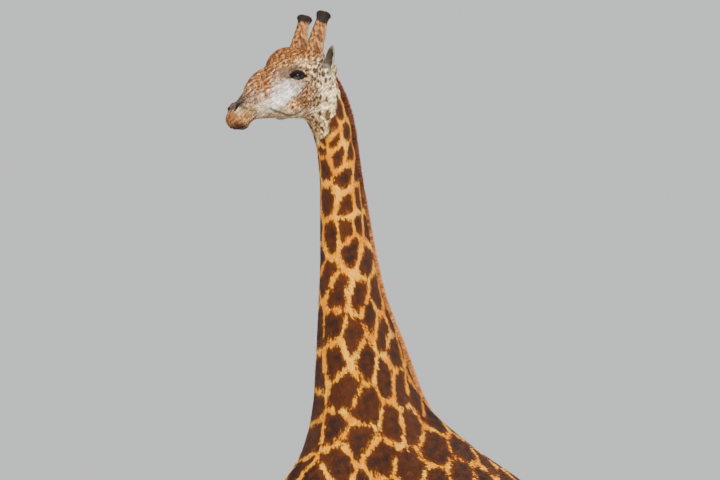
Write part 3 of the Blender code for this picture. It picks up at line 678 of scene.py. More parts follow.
def spaced(places, rooms):
    """Which places are kept, when each one taken needs its room from all kept before it."""
    cell, cells, kept = max(rooms), {}, []
    for n, (place, room) in enumerate(zip(places.tolist(), rooms)):
        key = [math.floor(c / cell) for c in place]
        around = itertools.product(*((k - 1, k, k + 1) for k in key))
        if all(math.dist(place, other) > room for spot in around for other in cells.get(spot, ())):
            cells.setdefault(tuple(key), []).append(place)
            kept.append(n)
    return kept


def tree_of(places):
    tree = kdtree.KDTree(len(places))
    for n, place in enumerate(places):
        tree.insert(place, n)
    tree.balance()
    return tree


def size_of(corners):
    """Twice the size of each triangle."""
    return np.linalg.norm(np.cross(corners[:, 1] - corners[:, 0], corners[:, 2] - corners[:, 0]), axis=1)


hide_points, hide_normals, hide_faces = points_of(skin.data), normals_of(skin.data), faces_of(skin.data)
corners = unrolled(hide_points)[hide_faces]
share = size_of(corners)
picked = dice.choice(len(share), TRIAL_MIDDLES, p=share / share.sum())
spread = dice.dirichlet((1, 1, 1), len(picked))
trial = (corners[picked] * spread[:, :, None]).sum(1)
middles = trial[spaced(trial, np.full(len(trial), PATCH_ROOM))]
patch_tree = tree_of(middles)
patch_tone = dice.uniform(0, 1, len(middles))
patch_gap = dice.normal(0, 0.018, len(middles))


def face_ground(face):
    """The colour under the flecks at each place in the face, and how thick the flecks are there."""
    centimetres = face * 100
    pull, tint, thick = np.full(len(face), 1e-9), np.zeros((len(face), 3)), np.zeros(len(face))
    for middle, reach, colour, flecks in FACE_TINTS.values():
        weight = fall(np.linalg.norm(centimetres - middle, axis=1), reach) + 1e-9
        pull += weight
        tint += weight[:, None] * paint(*colour)
        thick += weight * flecks
    return tint / pull[:, None], thick / pull


def fleck_room(face):
    """The room that each fleck has: close on the brow, and wide on the throat."""
    behind, below = -face[:, 1], -face[:, 2]
    on_throat = step(behind, 0.10, 0.19) * step(below, -0.03, 0.09)
    return 0.0118 + 0.0035 * step(behind, 0.02, 0.08) + 0.0250 * on_throat


fleck_zone = (of_face(hide_points)[:, 1] > FLECKS_FROM[0]) & (hide_points[:, 2] > FLECKS_FROM[1])
flecks = hide_points[fleck_zone][dice.permutation(fleck_zone.sum())]
fleck_rooms = fleck_room(of_face(flecks))
flecks = flecks * FLECK_STRETCH
kept = spaced(flecks, fleck_rooms)
fleck_tree, fleck_rooms = tree_of(flecks[kept]), fleck_rooms[kept]
fleck_size = fleck_rooms * dice.uniform(0.30, 0.66, len(kept))


def patch_depth(points, stray):
    """How deep in its patch each point lies, less than nothing in the gold, and the patch's tone."""
    rough = ripple(points, 0.060, 31) * 0.060 + ripple(points, 0.018, 32) * 0.040
    spot = unrolled(points)
    nearest = [[hit[1] for hit in patch_tree.find_n(place, SURE_NEIGHBOURS)] for place in spot.tolist()]
    own, *others = np.array(nearest).T
    edges = np.zeros(len(points))
    for other in others:
        apart = middles[own] - middles[other]
        inside = ((spot - (middles[own] + middles[other]) / 2) * apart).sum(1) / np.linalg.norm(apart, axis=1)
        edges += np.exp(-EDGE_SHARPNESS * inside)
    inside = -np.log(edges) / EDGE_SHARPNESS + PATCH_EVEN
    gap = np.interp(points[:, 2], LEVELS, GAP_HALF) + patch_gap[own]
    depth = (inside + rough - gap) * np.interp(points[:, 2], LEVELS, PATCH_WIDE)
    if stray:
        depth = depth + dice.normal(0, stray, len(points))
    return depth, patch_tone[own]


def body_coat(points, normals, stray):
    """The gold net, the patches, and how strongly the patches show."""
    depth, tone = patch_depth(points, stray)
    _, y, z = points.T
    down = -normals[:, 2]
    under = step(down, 0.15, 0.75) * step(z, 1.3, 1.9) * (1 - step(z, 2.4, 2.8)) * step(y, -0.60, -0.25)
    low = 1 - step(z, 0.35, 1.15)
    net = mixed(GOLD, PALE_GOLD, np.clip((0.5 + 0.5 * ripple(points, 0.12, 33)) * 0.9, 0, 1))
    net = mixed(net, BELLY, np.clip(0.85 * under + 0.55 * low, 0, 1))
    patch = mixed(PATCH_RIM, PATCH, step(depth, 0.0, 0.008))
    deep = step(depth, 0.004, 0.030) * (0.45 + 0.55 * tone)
    patch = mixed(patch, PATCH_DEEP, np.clip(deep * (0.8 + 0.5 * ripple(points, 0.05, 34)), 0, 1))
    patch = mixed(patch, PATCH_RIM, 0.35 * under + 0.40 * low)
    return net, patch, step(depth, -0.0012, 0.0012) * (1 - 0.55 * under * step(down, 0.5, 0.95))


def head_coat(points, net, patch, strength):
    """The head and throat: their own ground, flecks where the patches stop, painted shade with some dirt in
    the folds, painted shade in the nostrils, and the dark lids.
    """
    face = of_face(points)
    tint, thick = face_ground(face + drift(points, 0.020, (38, 39, 40), 2) * 0.0055)
    reached = 1.25 * face[:, 1] + 0.42 * face[:, 2] + 0.0215 + 0.018 * ripple(points, 0.05, 35)
    mottle = 0.80 * ripple(points, 0.018, 43, 1) + 0.66 * ripple(points, 0.010, 45, 1)
    mottle = mottle * (0.5 + 0.5 * step(thick, 0.10, 0.60)) + 0.15 * ripple(points, 0.035, 44)
    tint *= (np.exp(mottle) * (grey_of(tint) + 0.10) ** 0.14)[:, None]
    ground = mixed(net, tint, step(reached, -0.385, -0.325))
    hair = mixed(ground, patch, strength * (1 - step(reached, -0.350, -0.305)))

    nearest = [fleck_tree.find(place)[1:] for place in (points * FLECK_STRETCH).tolist()]
    which, away = np.array([hit[0] for hit in nearest]), np.array([hit[1] for hit in nearest])
    inside = fleck_size[which] * np.sqrt(thick) + 0.0016 * ripple(points, 0.008, 36) - away
    show = step(inside, -0.0005, 0.0009) * step(thick, 0.05, 0.22) * step(reached, -0.40, -0.34)
    rusty = step(face[:, 1] + 0.6 * face[:, 2], -0.08, 0.02)
    hair = mixed(hair, mixed(FLECK, RUSTY_FLECK, rusty), show * (0.93 - 0.08 * rusty))

    # painted shade with some dirt, where the folds sink the skin; ridges get none
    hair = mixed(hair, FOLD_SHADE_AND_DIRT, 0.96 * (1 - np.exp(-np.maximum(folded(face), 0) / FOLD_FADE)))
    # painted shade fills the opening of the nostril
    hair = mixed(hair, NOSTRIL_SHADE, 0.97 * step(in_nostril(face), -0.0035, 0.0))
    out, across, up, _ = about_eye(face)
    t = np.clip((across - 0.002) / 0.047, -1, 1)
    above = up - (LID_UP + 0.009) * (1 - t * t) ** 0.8
    below = -up - (LID_DOWN + 0.007) * (1 - t * t) ** 0.9
    outside = np.maximum(above, below) + 0.0015 * ripple(points, 0.01, 37, 1)
    near_eye = (out > -0.02) & (np.abs(face[:, 1] - 0.005) < 0.07) & (np.abs(t) < 1)
    return mixed(hair, LID_DARK, 0.95 * near_eye * (1 - step(outside, -0.0015, 0.0035)))


def markings(points, normals, stray=0.0):
    """The colour of the coat at each point. Stray is how far a lock may take its neighbour's colour."""
    net, patch, strength = body_coat(points, normals, stray)
    hair = mixed(net, patch, strength)
    front, height = of_face(points)[:, 1], points[:, 2]
    zone = np.nonzero((front > HEAD_COAT_FROM[0]) & (height > HEAD_COAT_FROM[1]))[0]
    if len(zone):
        hair[zone] = head_coat(points[zone], net[zone], patch[zone], strength[zone])
    grey = grey_of(hair)[:, None]
    strong = SATURATION + (HEAD_SATURATION - SATURATION) * headness(points)
    hair = grey + (hair - grey) * strong[:, None]
    hair = mixed(HOOF_SKIN, hair, step(points[:, 2], 0.045, 0.060))
    return np.clip(hair * BRIGHTNESS, 0.002, 0.95)


def dyed(mesh, colours):
    """Keeps these colours in the points of the mesh."""
    layer = mesh.attributes.new("hide", "FLOAT_COLOR", "POINT")
    solid = np.concatenate([colours, np.ones((len(colours), 1))], 1)
    layer.data.foreach_set("color", solid.astype(np.float32).ravel())


dyed(skin.data, markings(hide_points, hide_normals))

short = Finish("short_coat")
fine_shade = short.ranged(short.noise(260.0, 2.0), 0.3, 0.7, 0.80, 1.18)
broad_shade = short.ranged(short.noise(16.0, 3.0), 0.3, 0.7, 0.90, 1.08)
shade = short.node("Math", {0: fine_shade, 1: broad_shade}, operation="MULTIPLY")["Value"]
short.shade({
    "Base Color": short.hide(shade),
    "Roughness": 0.78,
    "Specular IOR Level": 0.16,
    "Normal": short.bump(short.noise(420.0, 2.0), 0.35, 0.0015),
})
skin.data.materials.append(short.material)

# ---- The coat ----
# Short flat hair over the whole hide, in small pointed locks that overlap like slates and lie
# down the neck and legs, back along the trunk, and up the face from the muzzle. Each lock holds
# its root's colour. They are finest on the face and the feet.
COAT_LOCKS = {  # locks, length, width, lift
    "coat_head": (88000, 0.0085, 0.0028, 0.0013),
    "coat_neck": (98000, 0.0165, 0.0052, 0.0030),
    "coat_shoulders": (92000, 0.0200, 0.0062, 0.0034),
    "coat_haunches": (98000, 0.0210, 0.0068, 0.0036),
    "coat_forelegs": (80000, 0.0150, 0.0046, 0.0028),
    "coat_hindlegs": (84000, 0.0150, 0.0046, 0.0028),
}
LOCK_SUNK = 0.001  # the roots, into the hide
SLEEK = 0.75  # the share of the hide's own normal in that of a lock
STRAY = 0.0022
LOCK_MAP = np.array(((0, -0.0014), (-0.0014, 0.0002), (0.0014, 0.0002), (0, 0.0014)))
MAP_EDGE = 0.004
HIDE_ROW = 0.02  # faces are taken in rows this high and deep
SHOULDERS_BACK, FORELEGS_BACK = 0.0, 0.15
HEAD_FROM, HEAD_LOW, NECK_LOW, LEGS_HIGH = -0.36, 4.55, 3.02, 1.92
LEGS_OVER_HOOF = 0.040  # how far the coat of the legs runs down over the horn
LIPS = (0.04, 0.29, -0.20)
NECK_HEIGHTS, NECK_MIDDLE = (3.0, 3.3, 3.6, 4.0, 4.6, 5.0), (-0.20, -0.31, -0.38, -0.46, -0.54, -0.56)


def unit(rows):
    """The same ways, each 1 long."""
    return rows / np.maximum(np.linalg.norm(rows, axis=1), 1e-9)[:, None]


def laid(ways, normals):
    """The same ways, pressed flat onto the surface."""
    return unit(ways - normals * (ways * normals).sum(1)[:, None])


def lie(points, normals):
    """The way that the hair lies at each point, along the surface."""
    _, y, z = points.T
    height = in_head(points)[:, 2]
    on_head = headness(points)[:, None]
    trunk = step(y, -0.55, -0.05) * step(z, 1.75, 2.0) * (1 - step(z, 2.95, 3.25))
    on_body = np.stack([0 * z, 0.25 + 1.9 * trunk * (1 - step(y, 0.75, 1.0)), 0.35 * trunk - 1], 1)
    rising = 0.55 * step(height, -0.12, 0.06) - 0.25 * step(-height, 0.10, 0.20)
    on_face = UP * rising[:, None] - FRONT
    ways = on_body * (1 - on_head) + on_face * on_head
    return laid(ways + drift(points, 0.20, (41, 42, 43)) * 0.12, normals)


def scattered(surface, count, chosen=slice(None), thickness=1.0):
    """Roots spread evenly over the chosen faces of a surface: places and normals."""
    points, normals, faces = surface
    faces = faces[chosen]
    corners = points[faces]
    first = corners[:, 0]
    order = np.lexsort((first[:, 0], np.floor(first[:, 1] / HIDE_ROW), np.floor(first[:, 2] / HIDE_ROW)))
    reach = np.cumsum((size_of(corners) * thickness)[order])
    mark = (np.arange(count) + dice.uniform(0, 1, count)) * reach[-1] / count
    face = order[np.searchsorted(reach, mark).clip(0, len(order) - 1)]
    u, v = dice.uniform(0, 1, (2, count))
    u, v = np.where(u + v > 1, 1 - u, u), np.where(u + v > 1, 1 - v, v)
    share = np.stack([1 - u - v, u, v], 1)[:, :, None]
    return (corners[face] * share).sum(1), unit((normals[faces[face]] * share).sum(1))


def mesh_of(name, points, triangles, finish):
    """A smooth piece from points and triangles."""
    mesh = bpy.data.meshes.new(name)
    mesh.vertices.add(len(points))
    mesh.vertices.foreach_set("co", points.astype(np.float32).ravel())
    mesh.loops.add(len(triangles) * 3)
    mesh.loops.foreach_set("vertex_index", triangles.astype(np.int32).ravel())
    mesh.polygons.add(len(triangles))
    mesh.polygons.foreach_set("loop_start", np.arange(0, len(triangles) * 3, 3, dtype=np.int32))
    mesh.update(calc_edges=True)
    mesh.shade_smooth()
    mesh.materials.append(finish.material)
    thing = added(name, mesh)
    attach(thing, "root")
    return thing


def mapped(mesh, triangles, places, patch):
    """The map OFBake, in which each lock or hair is a small patch round its own place."""
    sheet = mesh.uv_layers.new(name="OFBake")
    corners = (np.clip(places, MAP_EDGE, 1 - MAP_EDGE)[:, None] + patch).reshape(-1, 2)
    sheet.data.foreach_set("uv", corners[triangles.ravel()].astype(np.float32).ravel())


def combed(name, slot, roots, normals, ways, long, wide, lift, colours, places, vary=0.16):
    """Flat pointed locks of four corners: a sunk root, two shoulders and a tip."""
    count = len(roots)
    turn = dice.normal(0, 0.20, count)[:, None]
    way = ways * np.cos(turn) + np.cross(normals, ways) * np.sin(turn)
    long = (long * dice.uniform(0.75, 1.25, count))[:, None]
    wide = (wide * dice.uniform(0.75, 1.25, count))[:, None]
    lift = (lift * dice.uniform(0.4, 1.6, count))[:, None]
    shoulder = roots + way * 0.42 * long + normals * 0.55 * lift
    half = np.cross(normals, way) * wide / 2
    tip = roots + way * long + normals * lift
    corners = np.stack([roots - normals * LOCK_SUNK, shoulder - half, shoulder + half, tip], 1)
    first = np.arange(count)[:, None] * 4
    triangles = np.concatenate([first + (0, 1, 2), first + (1, 3, 2)], 1).reshape(-1, 3)
    thing = mesh_of(name, corners.reshape(-1, 3), triangles, short)
    colours = colours * np.exp(dice.normal(0, vary, count))[:, None]
    dyed(thing.data, np.repeat(colours, 4, 0))
    mapped(thing.data, triangles, places, LOCK_MAP)
    flat = unit(np.cross(corners[:, 1] - corners[:, 0], corners[:, 2] - corners[:, 0]))
    flat *= np.sign((flat * normals).sum(1))[:, None]
    bend = np.repeat(unit(normals * SLEEK + flat * (1 - SLEEK)), 4, 0)
    smooth = thing.data.attributes.new("custom_normal", "FLOAT_VECTOR", "POINT")
    smooth.data.foreach_set("vector", bend.astype(np.float32).ravel())


def rooted(name, faces, thickness):
    """Roots on these faces of the hide, their normals, and the way that the hair lies there."""
    roots, normals = scattered(hide, COAT_LOCKS[name][0] // (1), faces, thickness[faces])
    return roots, normals, lie(roots, normals)


def coat(name, slot, roots, normals, ways, size, places, **more):
    """A piece of the coat; size is the share of their full size that its locks have."""
    _, long, wide, lift = COAT_LOCKS[name]
    sizes = long * size, wide * size, lift * np.sqrt(size)
    colours = markings(roots, normals, STRAY)
    combed(name, slot, roots, normals, ways, *sizes, colours, places, **more)


def round_turn(side, front):
    """The way round an axis as a share of a full turn, with its seam at the back."""
    return np.arctan2(side, front) / (2 * math.pi) + 0.5


def turned(points, middle_x, middle_y, low, high):
    """A map round an upright axis: the turn, and the height."""
    x, y, z = points.T
    return np.stack([round_turn(x - middle_x, middle_y - y), (z - low) / (high - low)], 1)


hide = (hide_points, hide_normals, hide_faces)
centres = hide_points[hide_faces].mean(1)
_, centre_y, centre_z = centres.T
face_at = of_face(centres)
head_faces = (face_at[:, 1] + 0.75 * face_at[:, 2] > HEAD_FROM) & (centre_z > HEAD_LOW)
leg_faces = ~head_faces & (centre_z < LEGS_HIGH) & (centre_y < RUMP_BACK)
neck_faces = ~head_faces & (centre_z > NECK_LOW)
trunk_faces = ~(head_faces | leg_faces | neck_faces)
HOOF_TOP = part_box("hoof_fore_left")[1].z
leg_faces &= centre_z >= HOOF_TOP - LEGS_OVER_HOOF

# the head, closest at the lips, with no hair in the eyes, the nostrils and the mouth
thick = 1 + 1.2 * fall(np.linalg.norm(face_at - LIPS, axis=1), 0.10)
roots, normals, ways = rooted("coat_head", head_faces, thick)
face = of_face(roots)
out, _, _, edge = about_eye(face)
kept = ~((edge < 0.0035) & (out > 0)) & (in_nostril(face) < 0) & (to_line(face, mouth_line)[0] > 0.003)
roots, normals, ways, face = roots[kept], normals[kept], ways[kept], face[kept]
size = 1 - 0.45 * step(face[:, 1], 0.10, 0.30) + 0.5 * step(-face[:, 1], 0.08, 0.25)
side, front, height = in_head(roots).T
places = np.stack([round_turn(side, height + 0.09), (front + 0.36) / 0.75], 1)
coat("coat_head", "face", roots, normals, ways, size, places, vary=0.27)

roots, normals, ways = rooted("coat_neck", neck_faces, 1 + 0.8 * step(centre_z, 3.3, 4.2))
size = 1.0 - 0.25 * step(roots[:, 2], 3.6, 4.6)
places = turned(roots, 0, np.interp(roots[:, 2], NECK_HEIGHTS, NECK_MIDDLE), 3.0, 5.02)
coat("coat_neck", "coat", roots, normals, ways, size, places)

behind = centre_y >= SHOULDERS_BACK
for name, faces in (("coat_shoulders", trunk_faces & ~behind), ("coat_haunches", trunk_faces & behind)):
    roots, normals, ways = rooted(name, faces, 1 + 0.8 * step(centre_z, 3.3, 4.2))
    x, y, z = roots.T
    places = np.stack([round_turn(x, z - 2.45), (y - centre_y[faces].min()) / np.ptp(centre_y[faces])], 1)
    coat(name, "coat", roots, normals, ways, np.ones(len(roots)), places)

behind = centre_y >= FORELEGS_BACK
for name, faces in (("coat_forelegs", leg_faces & ~behind), ("coat_hindlegs", leg_faces & behind)):
    roots, normals, ways = rooted(name, faces, 1 + 0.9 * (1 - step(centre_z, 0.5, 1.3)))
    size = 0.55 + 0.45 * step(roots[:, 2], 0.2, 1.2)
    on_left = roots[:, 0] > 0
    places = turned(roots, np.where(on_left, 0.2, -0.2), centre_y[faces].mean(), 0.1, 1.95)
    places[:, 0] = places[:, 0] * 0.48 + 0.01 + on_left * 0.5
    coat(name, "coat", roots, normals, ways, size, places)

# ---- The eyes ----
# Large dark balls set deep at the sides of the head, with a clear wet dome over a brown iris and
# a wide level pupil. The edges of the lids are bare and dark, and carry long lashes.
SIDES = (("left", 1), ("right", -1))
DOME_HEIGHT, DOME_REACH, WHITE_SUNK = 0.0022, 0.017, 0.0006
RIM_OUT, RIM_RADIUS, RIM_STEPS, RIM_AROUND = 0.0008, 0.0021, 72, 10
LASHES = (  # how many, on which lid (1 upper) and where on it, how long, and how they point and bend down
    (150, 1, (0.08, 0.95), (0.020, 0.034), -0.10, -0.34),
    (60, -1, (0.2, 0.8), (0.007, 0.013), -0.45, -0.10),
)
LASH_OUT, LASH_FORWARD, LASH_SWEEP = 0.80, 0.40, 0.10
LASH_STEPS = np.array([[-0.08], [0.25], [0.5], [0.75], [1.0]])
LASH_WIDTHS = (0.0013, 0.0012, 0.0010, 0.0007, 0.0002)
LASH_TONE = paint(26, 20, 18)
HAIR_MAP = 0.0014  # half of the patch that a hair has in the map

wet = Finish("wet_eye")
place = wet.node("SeparateXYZ", {0: wet.node("TexCoord")["Object"]})
narrowed = wet.node("Math", {0: place["X"], 1: 0.62}, operation="MULTIPLY")["Value"]
level = wet.node("CombineXYZ", {"X": narrowed, "Y": place["Y"]})["Vector"]
from_middle = wet.node("VectorMath", {0: level}, operation="LENGTH")["Value"]
iris = wet.ramp(
    wet.ranged(from_middle, 0.0, 0.024, 0.0, 1.0),
    (0.36, (0.004, 0.003, 0.004)),
    (0.95, (0.010, 0.006, 0.005)),
    (0.46, (0.035, 0.016, 0.008)),
    (0.72, (0.028, 0.013, 0.007)),
)
fibres = {0: wet.noise(300.0, 3.0), 6: iris, 7: (0.008, 0.005, 0.004, 1)}
wet.shade({
    "Base Color": wet.node("Mix", fibres, data_type="RGBA")[2],
    "Roughness": 0.25,
    "Specular IOR Level": 0.15,
    "Coat Weight": 0.8,
    "Coat Roughness": 0.02,
    "Coat IOR": 1.30,
})
lid = Finish("bare_lid")
damp = lid.noise(350.0, 3.0)
lid_tone = lid.ramp(damp, (0, (0.010, 0.007, 0.006)), (1, (0.030, 0.020, 0.017)))
lid.shade({"Base Color": lid_tone, "Normal": lid.bump(damp, 0.3, 0.001), "Roughness": 0.38})
hair = Finish("long_hair")
streak = hair.ranged(hair.noise(150.0, 3.0), 0.3, 0.7, 0.72, 1.25)
hair.shade({"Base Color": hair.hide(streak), "Roughness": 0.60, "Specular IOR Level": 0.2})


def to_world(face, side):
    """Places given in the head as (side, front, up), on its left (1) or its right (-1)."""
    return np.array(face) * (side, 1, 1) @ HEAD_AXES + np.array(head_mid)


def lid_line(t, out_by, scale=1.0):
    """A place on the edge of the lids at this turn round the eye, as (side, front, up)."""
    across, high = EYE_HALF * scale * math.cos(t), math.sin(t)
    shape = 1 - min(abs(math.cos(t)), 1) ** 2
    up = (LID_UP * shape**0.65 if high > 0 else -LID_DOWN * shape**0.75) * scale - 0.002 * math.cos(t)
    out = math.sqrt(max((EYE_RADIUS + out_by) ** 2 - across**2 - up**2, 0))
    return np.array((eye_mid, 0, up)) + np.array(EYE_OUT) * out + np.array(EYE_ACROSS) * across


def stands_for(thing, node):
    """The piece rides on the body in place of the node's own solid."""
    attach(thing, "root")
    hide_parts(node)


def ribboned(name, spines, widths, flats, colours, places):
    """Many thin hairs: each spine is a row of places, with a width at each and one way across."""
    count, steps, _ = spines.shape
    half = np.asarray(widths)[..., None] / 2 * flats[:, None]
    corners = np.stack([spines - half, spines + half], 2).reshape(-1, 3)
    pattern = [(2 * k, 2 * k + 1, 2 * k + 3, 2 * k, 2 * k + 3, 2 * k + 2) for k in range(steps - 1)]
    triangles = (np.arange(count)[:, None] * steps * 2 + np.ravel(pattern)).reshape(-1, 3)
    thing = mesh_of(name, corners, triangles, hair)
    dyed(thing.data, np.repeat(np.broadcast_to(colours, spines.shape), 2, 1).reshape(-1, 3))
    along = np.repeat(np.linspace(-HAIR_MAP, HAIR_MAP, steps), 2)
    mapped(thing.data, triangles, places, np.stack([np.tile((-HAIR_MAP, HAIR_MAP), steps), along], 1))
    return thing


for side_name, side in SIDES:
    form = bmesh.new()
    bmesh.ops.create_uvsphere(form, u_segments=64, v_segments=40, radius=EYE_RADIUS)
    for v in form.verts:
        if v.co.z > 0:
            off = math.hypot(v.co.x, v.co.y)
            v.co.z += DOME_HEIGHT * math.exp(-((off / DOME_REACH) ** 2)) - WHITE_SUNK
    ball = added("eyeball_" + side_name, mesh_from(form, "eyeball_" + side_name))
    ball.data.shade_smooth()
    ball.data.materials.append(wet.material)
    upward, outward = Vector((0, 0, 1)), Vector(np.array((side * EYE_OUT.x, EYE_OUT.y, 0)) @ HEAD_AXES)
    turned_out = Matrix((upward.cross(outward).normalized(), upward, outward)).transposed().to_4x4()
    ball.matrix_world = Matrix.Translation(eye_at[side_name]) @ turned_out
    stands_for(ball, "eye_" + side_name)

    rim = to_world([lid_line(2 * math.pi * k / RIM_STEPS, RIM_OUT) for k in range(RIM_STEPS)], side)
    along = unit(np.roll(rim, -1, 0) - np.roll(rim, 1, 0))
    out = laid(rim - np.array(eye_at[side_name]), along)
    turn = np.linspace(0, 2 * math.pi, RIM_AROUND + 1)[:-1, None]
    rings = out[:, None] * np.cos(turn) + np.cross(along, out)[:, None] * np.sin(turn)
    rings = (rim[:, None] + RIM_RADIUS * rings).reshape(-1, 3)
    here = np.arange(len(rings)).reshape(RIM_STEPS, RIM_AROUND)
    ahead, beside = np.roll(here, -1, 0), np.roll(here, -1, 1)
    over = np.roll(ahead, -1, 1)
    triangles = np.stack([(here, ahead, over), (here, over, beside)]).transpose(0, 2, 3, 1).reshape(-1, 3)
    mesh_of("lid_edge_" + side_name, rings, triangles, lid)

    spines, flats = [], []
    for count, sign, turns, lengths, slant, droop in LASHES:
        for _ in range(count):
            t = sign * dice.uniform(*turns) * math.pi
            root = lid_line(t, 0.0022, 1.04 + 0.05 * dice.uniform())
            long = dice.uniform(*lengths)
            forward = LASH_FORWARD * math.cos(t) + dice.normal(0, 0.10)
            away = np.array(EYE_OUT) * LASH_OUT + np.array(EYE_ACROSS) * forward + (0, 0, slant)
            away /= np.linalg.norm(away)
            drop = np.array(EYE_ACROSS) * LASH_SWEEP + (0, 0, droop)
            spine = to_world(root + away * long * LASH_STEPS + drop * long * LASH_STEPS**2, side)
            spines.append(spine)
            flats.append(np.cross(spine[2] - spine[0], UP))
    places = dice.uniform(0.1, 0.9, (len(spines), 2))
    name = "lashes_" + side_name
    ribboned(name, np.array(spines), LASH_WIDTHS, unit(np.array(flats)), LASH_TONE, places)

# ---- The ears ----
# Narrow pointed ears held up and out, each a thin shell open to the front. They are pale with a
# darker edge, dark in the hollow, and fringed with longer white hair. They are sunk in the hide.
EAR_FOOT, EAR_TIP, EAR_SUNK = (0.104, -0.188, 0.020), (0.196, -0.164, 0.155), 0.014
EAR_GRAIN = EAR_COAT = 0.0022
EAR_LOCKS = 9000
EAR_PALE, EAR_EDGE, EAR_HOLLOW = paint(212, 196, 170), paint(130, 114, 100), paint(64, 52, 46)
EAR_FRINGE = paint(232, 224, 206)


def even_piece(name, node, grain, shift, passes):
    """The solid of a node made again as one smooth fine form, with its root run into the head."""
    thing = remade(name, (node,), grain, shift)
    evened(thing, passes)
    form = bmesh.new()
    form.from_mesh(thing.data)
    bmesh.ops.triangulate(form, faces=form.faces[:])
    form.to_mesh(thing.data)
    form.free()
    thing.data.shade_smooth()
    return thing


def ear_tone(up, facing):
    """Pale, darker to the tip and dark in the hollow; up is the height as a share of the ear."""
    tone = mixed(EAR_PALE, EAR_EDGE, 0.8 * step(up, 0.35, 1.0))
    inner = step(facing, 0.15, 0.6) * step(up, 0.10, 0.30)
    return mixed(tone, EAR_HOLLOW, 0.9 * inner * (1 - step(up, 0.75, 1.0)))


for side_name, side in SIDES:
    foot, tip = to_world(EAR_FOOT, side), to_world(EAR_TIP, side)
    long = np.linalg.norm(tip - foot)
    along = (tip - foot) / long
    node, sunk = "ear_" + side_name, Vector(-along * EAR_SUNK)
    ear = even_piece("ear_shell_" + side_name, node, EAR_GRAIN, sunk, 6)
    points = points_of(ear.data) - normals_of(ear.data) * EAR_COAT
    move_to(ear.data, points)
    normals = normals_of(ear.data)
    dyed(ear.data, ear_tone((points - foot) @ along / long, normals @ FRONT))
    ear.data.materials.append(short.material)
    stands_for(ear, node)

    roots, normals = scattered((points, normals, faces_of(ear.data)), EAR_LOCKS)
    up, facing = (roots - foot) @ along / long, normals @ FRONT
    rim = fall(facing - 0.12, 0.22) * step(up, 0.12, 0.4)
    tone = mixed(ear_tone(up, facing), EAR_FRINGE, 0.75 * rim * dice.uniform(0.2, 1, len(roots)))
    places = np.stack([round_turn(normals @ LEFT, facing), up], 1)
    size = 0.0075 + 0.006 * rim, 0.0022, 0.0009 + 0.0022 * rim
    combed("ear_hair_" + side_name, "ear_skin", roots, normals, laid(along, normals), *size, tone, places)

# ---- The ossicones ----
# Two stout horns of bone under skin, wide at the foot. They are thick with short rusty hair that
# turns nearly black round the knob, and the knob's crown is rubbed bald and grey.
HORN_FOOT, HORN_TIP, HORN_SUNK = (0.086, -0.100, 0.105), (0.101, -0.165, 0.342), 0.018
HORN_GRAIN, HORN_COAT, HORN_LOCKS = 0.0032, 0.0030, 16000
HORN_RUST, HORN_BROWN, HORN_BACK = paint(190, 134, 80), paint(104, 64, 37), paint(222, 190, 146)
HORN_LOW, KNOB_DARK = paint(136, 88, 52), paint(44, 34, 30)
BALD, BALD_DARK = paint(150, 132, 126), paint(96, 80, 74)


def crown_of(up, normals, along):
    """1 on the bald crown."""
    return step(normals @ along, 0.72, 0.90) * step(up, 0.86, 0.93)


def horn_tone(points, normals, up, crown, side):
    """Rusty hair, pale behind and dark round the knob, and the bald crown."""
    tone = mixed(HORN_RUST, HORN_BROWN, np.clip(0.5 + 0.9 * ripple(points, 0.018, 52), 0, 1))
    tone = mixed(tone, HORN_LOW, 0.5 * (1 - step(up, -0.05, 0.25)))
    tone = mixed(tone, HORN_BACK, 0.65 * step(-(normals @ FRONT), 0.2, 0.9))
    knob = up + 0.020 * ripple(points, 0.018, 53, 1) + 0.05 * (normals @ LEFT) * side
    tone = mixed(tone, KNOB_DARK, step(knob, 0.73, 0.80))
    bald = mixed(BALD, BALD_DARK, np.clip(0.5 + 0.6 * ripple(points, 0.010, 54), 0, 1))
    return mixed(tone, bald, 0.9 * crown)


for side_name, side in SIDES:
    foot, tip = to_world(HORN_FOOT, side), to_world(HORN_TIP, side)
    tall = np.linalg.norm(tip - foot)
    along = (tip - foot) / tall
    node, sunk = "ossicone_" + side_name, Vector(-along * HORN_SUNK)
    horn = even_piece("horn_" + side_name, node, HORN_GRAIN, sunk, 14)
    points, normals = points_of(horn.data), normals_of(horn.data)
    up = (points - foot) @ along / tall
    # the waist under the knob, the knob's rolled edge and its flatter crown, and low ridges
    swell = 0.0030 * fall(up - 0.93, 0.05) - 0.0035 * fall(up - 0.80, 0.10)
    swell += 0.0012 * ripple(points, 0.030, 51) - HORN_COAT * (1 - step(up, 0.88, 0.96))
    points += normals * swell[:, None]
    move_to(horn.data, points)
    normals, up = normals_of(horn.data), (points - foot) @ along / tall
    dyed(horn.data, horn_tone(points, normals, up, crown_of(up, normals, along), side))
    horn.data.materials.append(short.material)
    stands_for(horn, node)

    roots, normals = scattered((points, normals, faces_of(horn.data)), HORN_LOCKS)
    up = (roots - foot) @ along / tall
    crown = crown_of(up, normals, along)
    tone = horn_tone(roots, normals, up, crown, side)
    kept = (crown < 0.35) & (up > -0.25)
    roots, normals, tone, up = roots[kept], normals[kept], tone[kept], up[kept]
    dark = (ripple(roots, 0.010, 55, 1) + 0.5 * dice.normal(size=len(roots)) > 0.35) & (up < 0.76)
    tone[dark] *= dice.uniform(0.30, 0.65, (dark.sum(), 1))
    longer = fall(up - 0.90, 0.06)
    places = np.stack([round_turn(normals @ LEFT, normals @ FRONT), up * 0.8 + 0.15], 1)
    size = 0.0095 + 0.004 * longer, 0.0026, 0.0018 + 0.0022 * longer
    combed("horn_hair_" + side_name, "horn_skin", roots, normals, laid(along, normals), *size, tone, places)

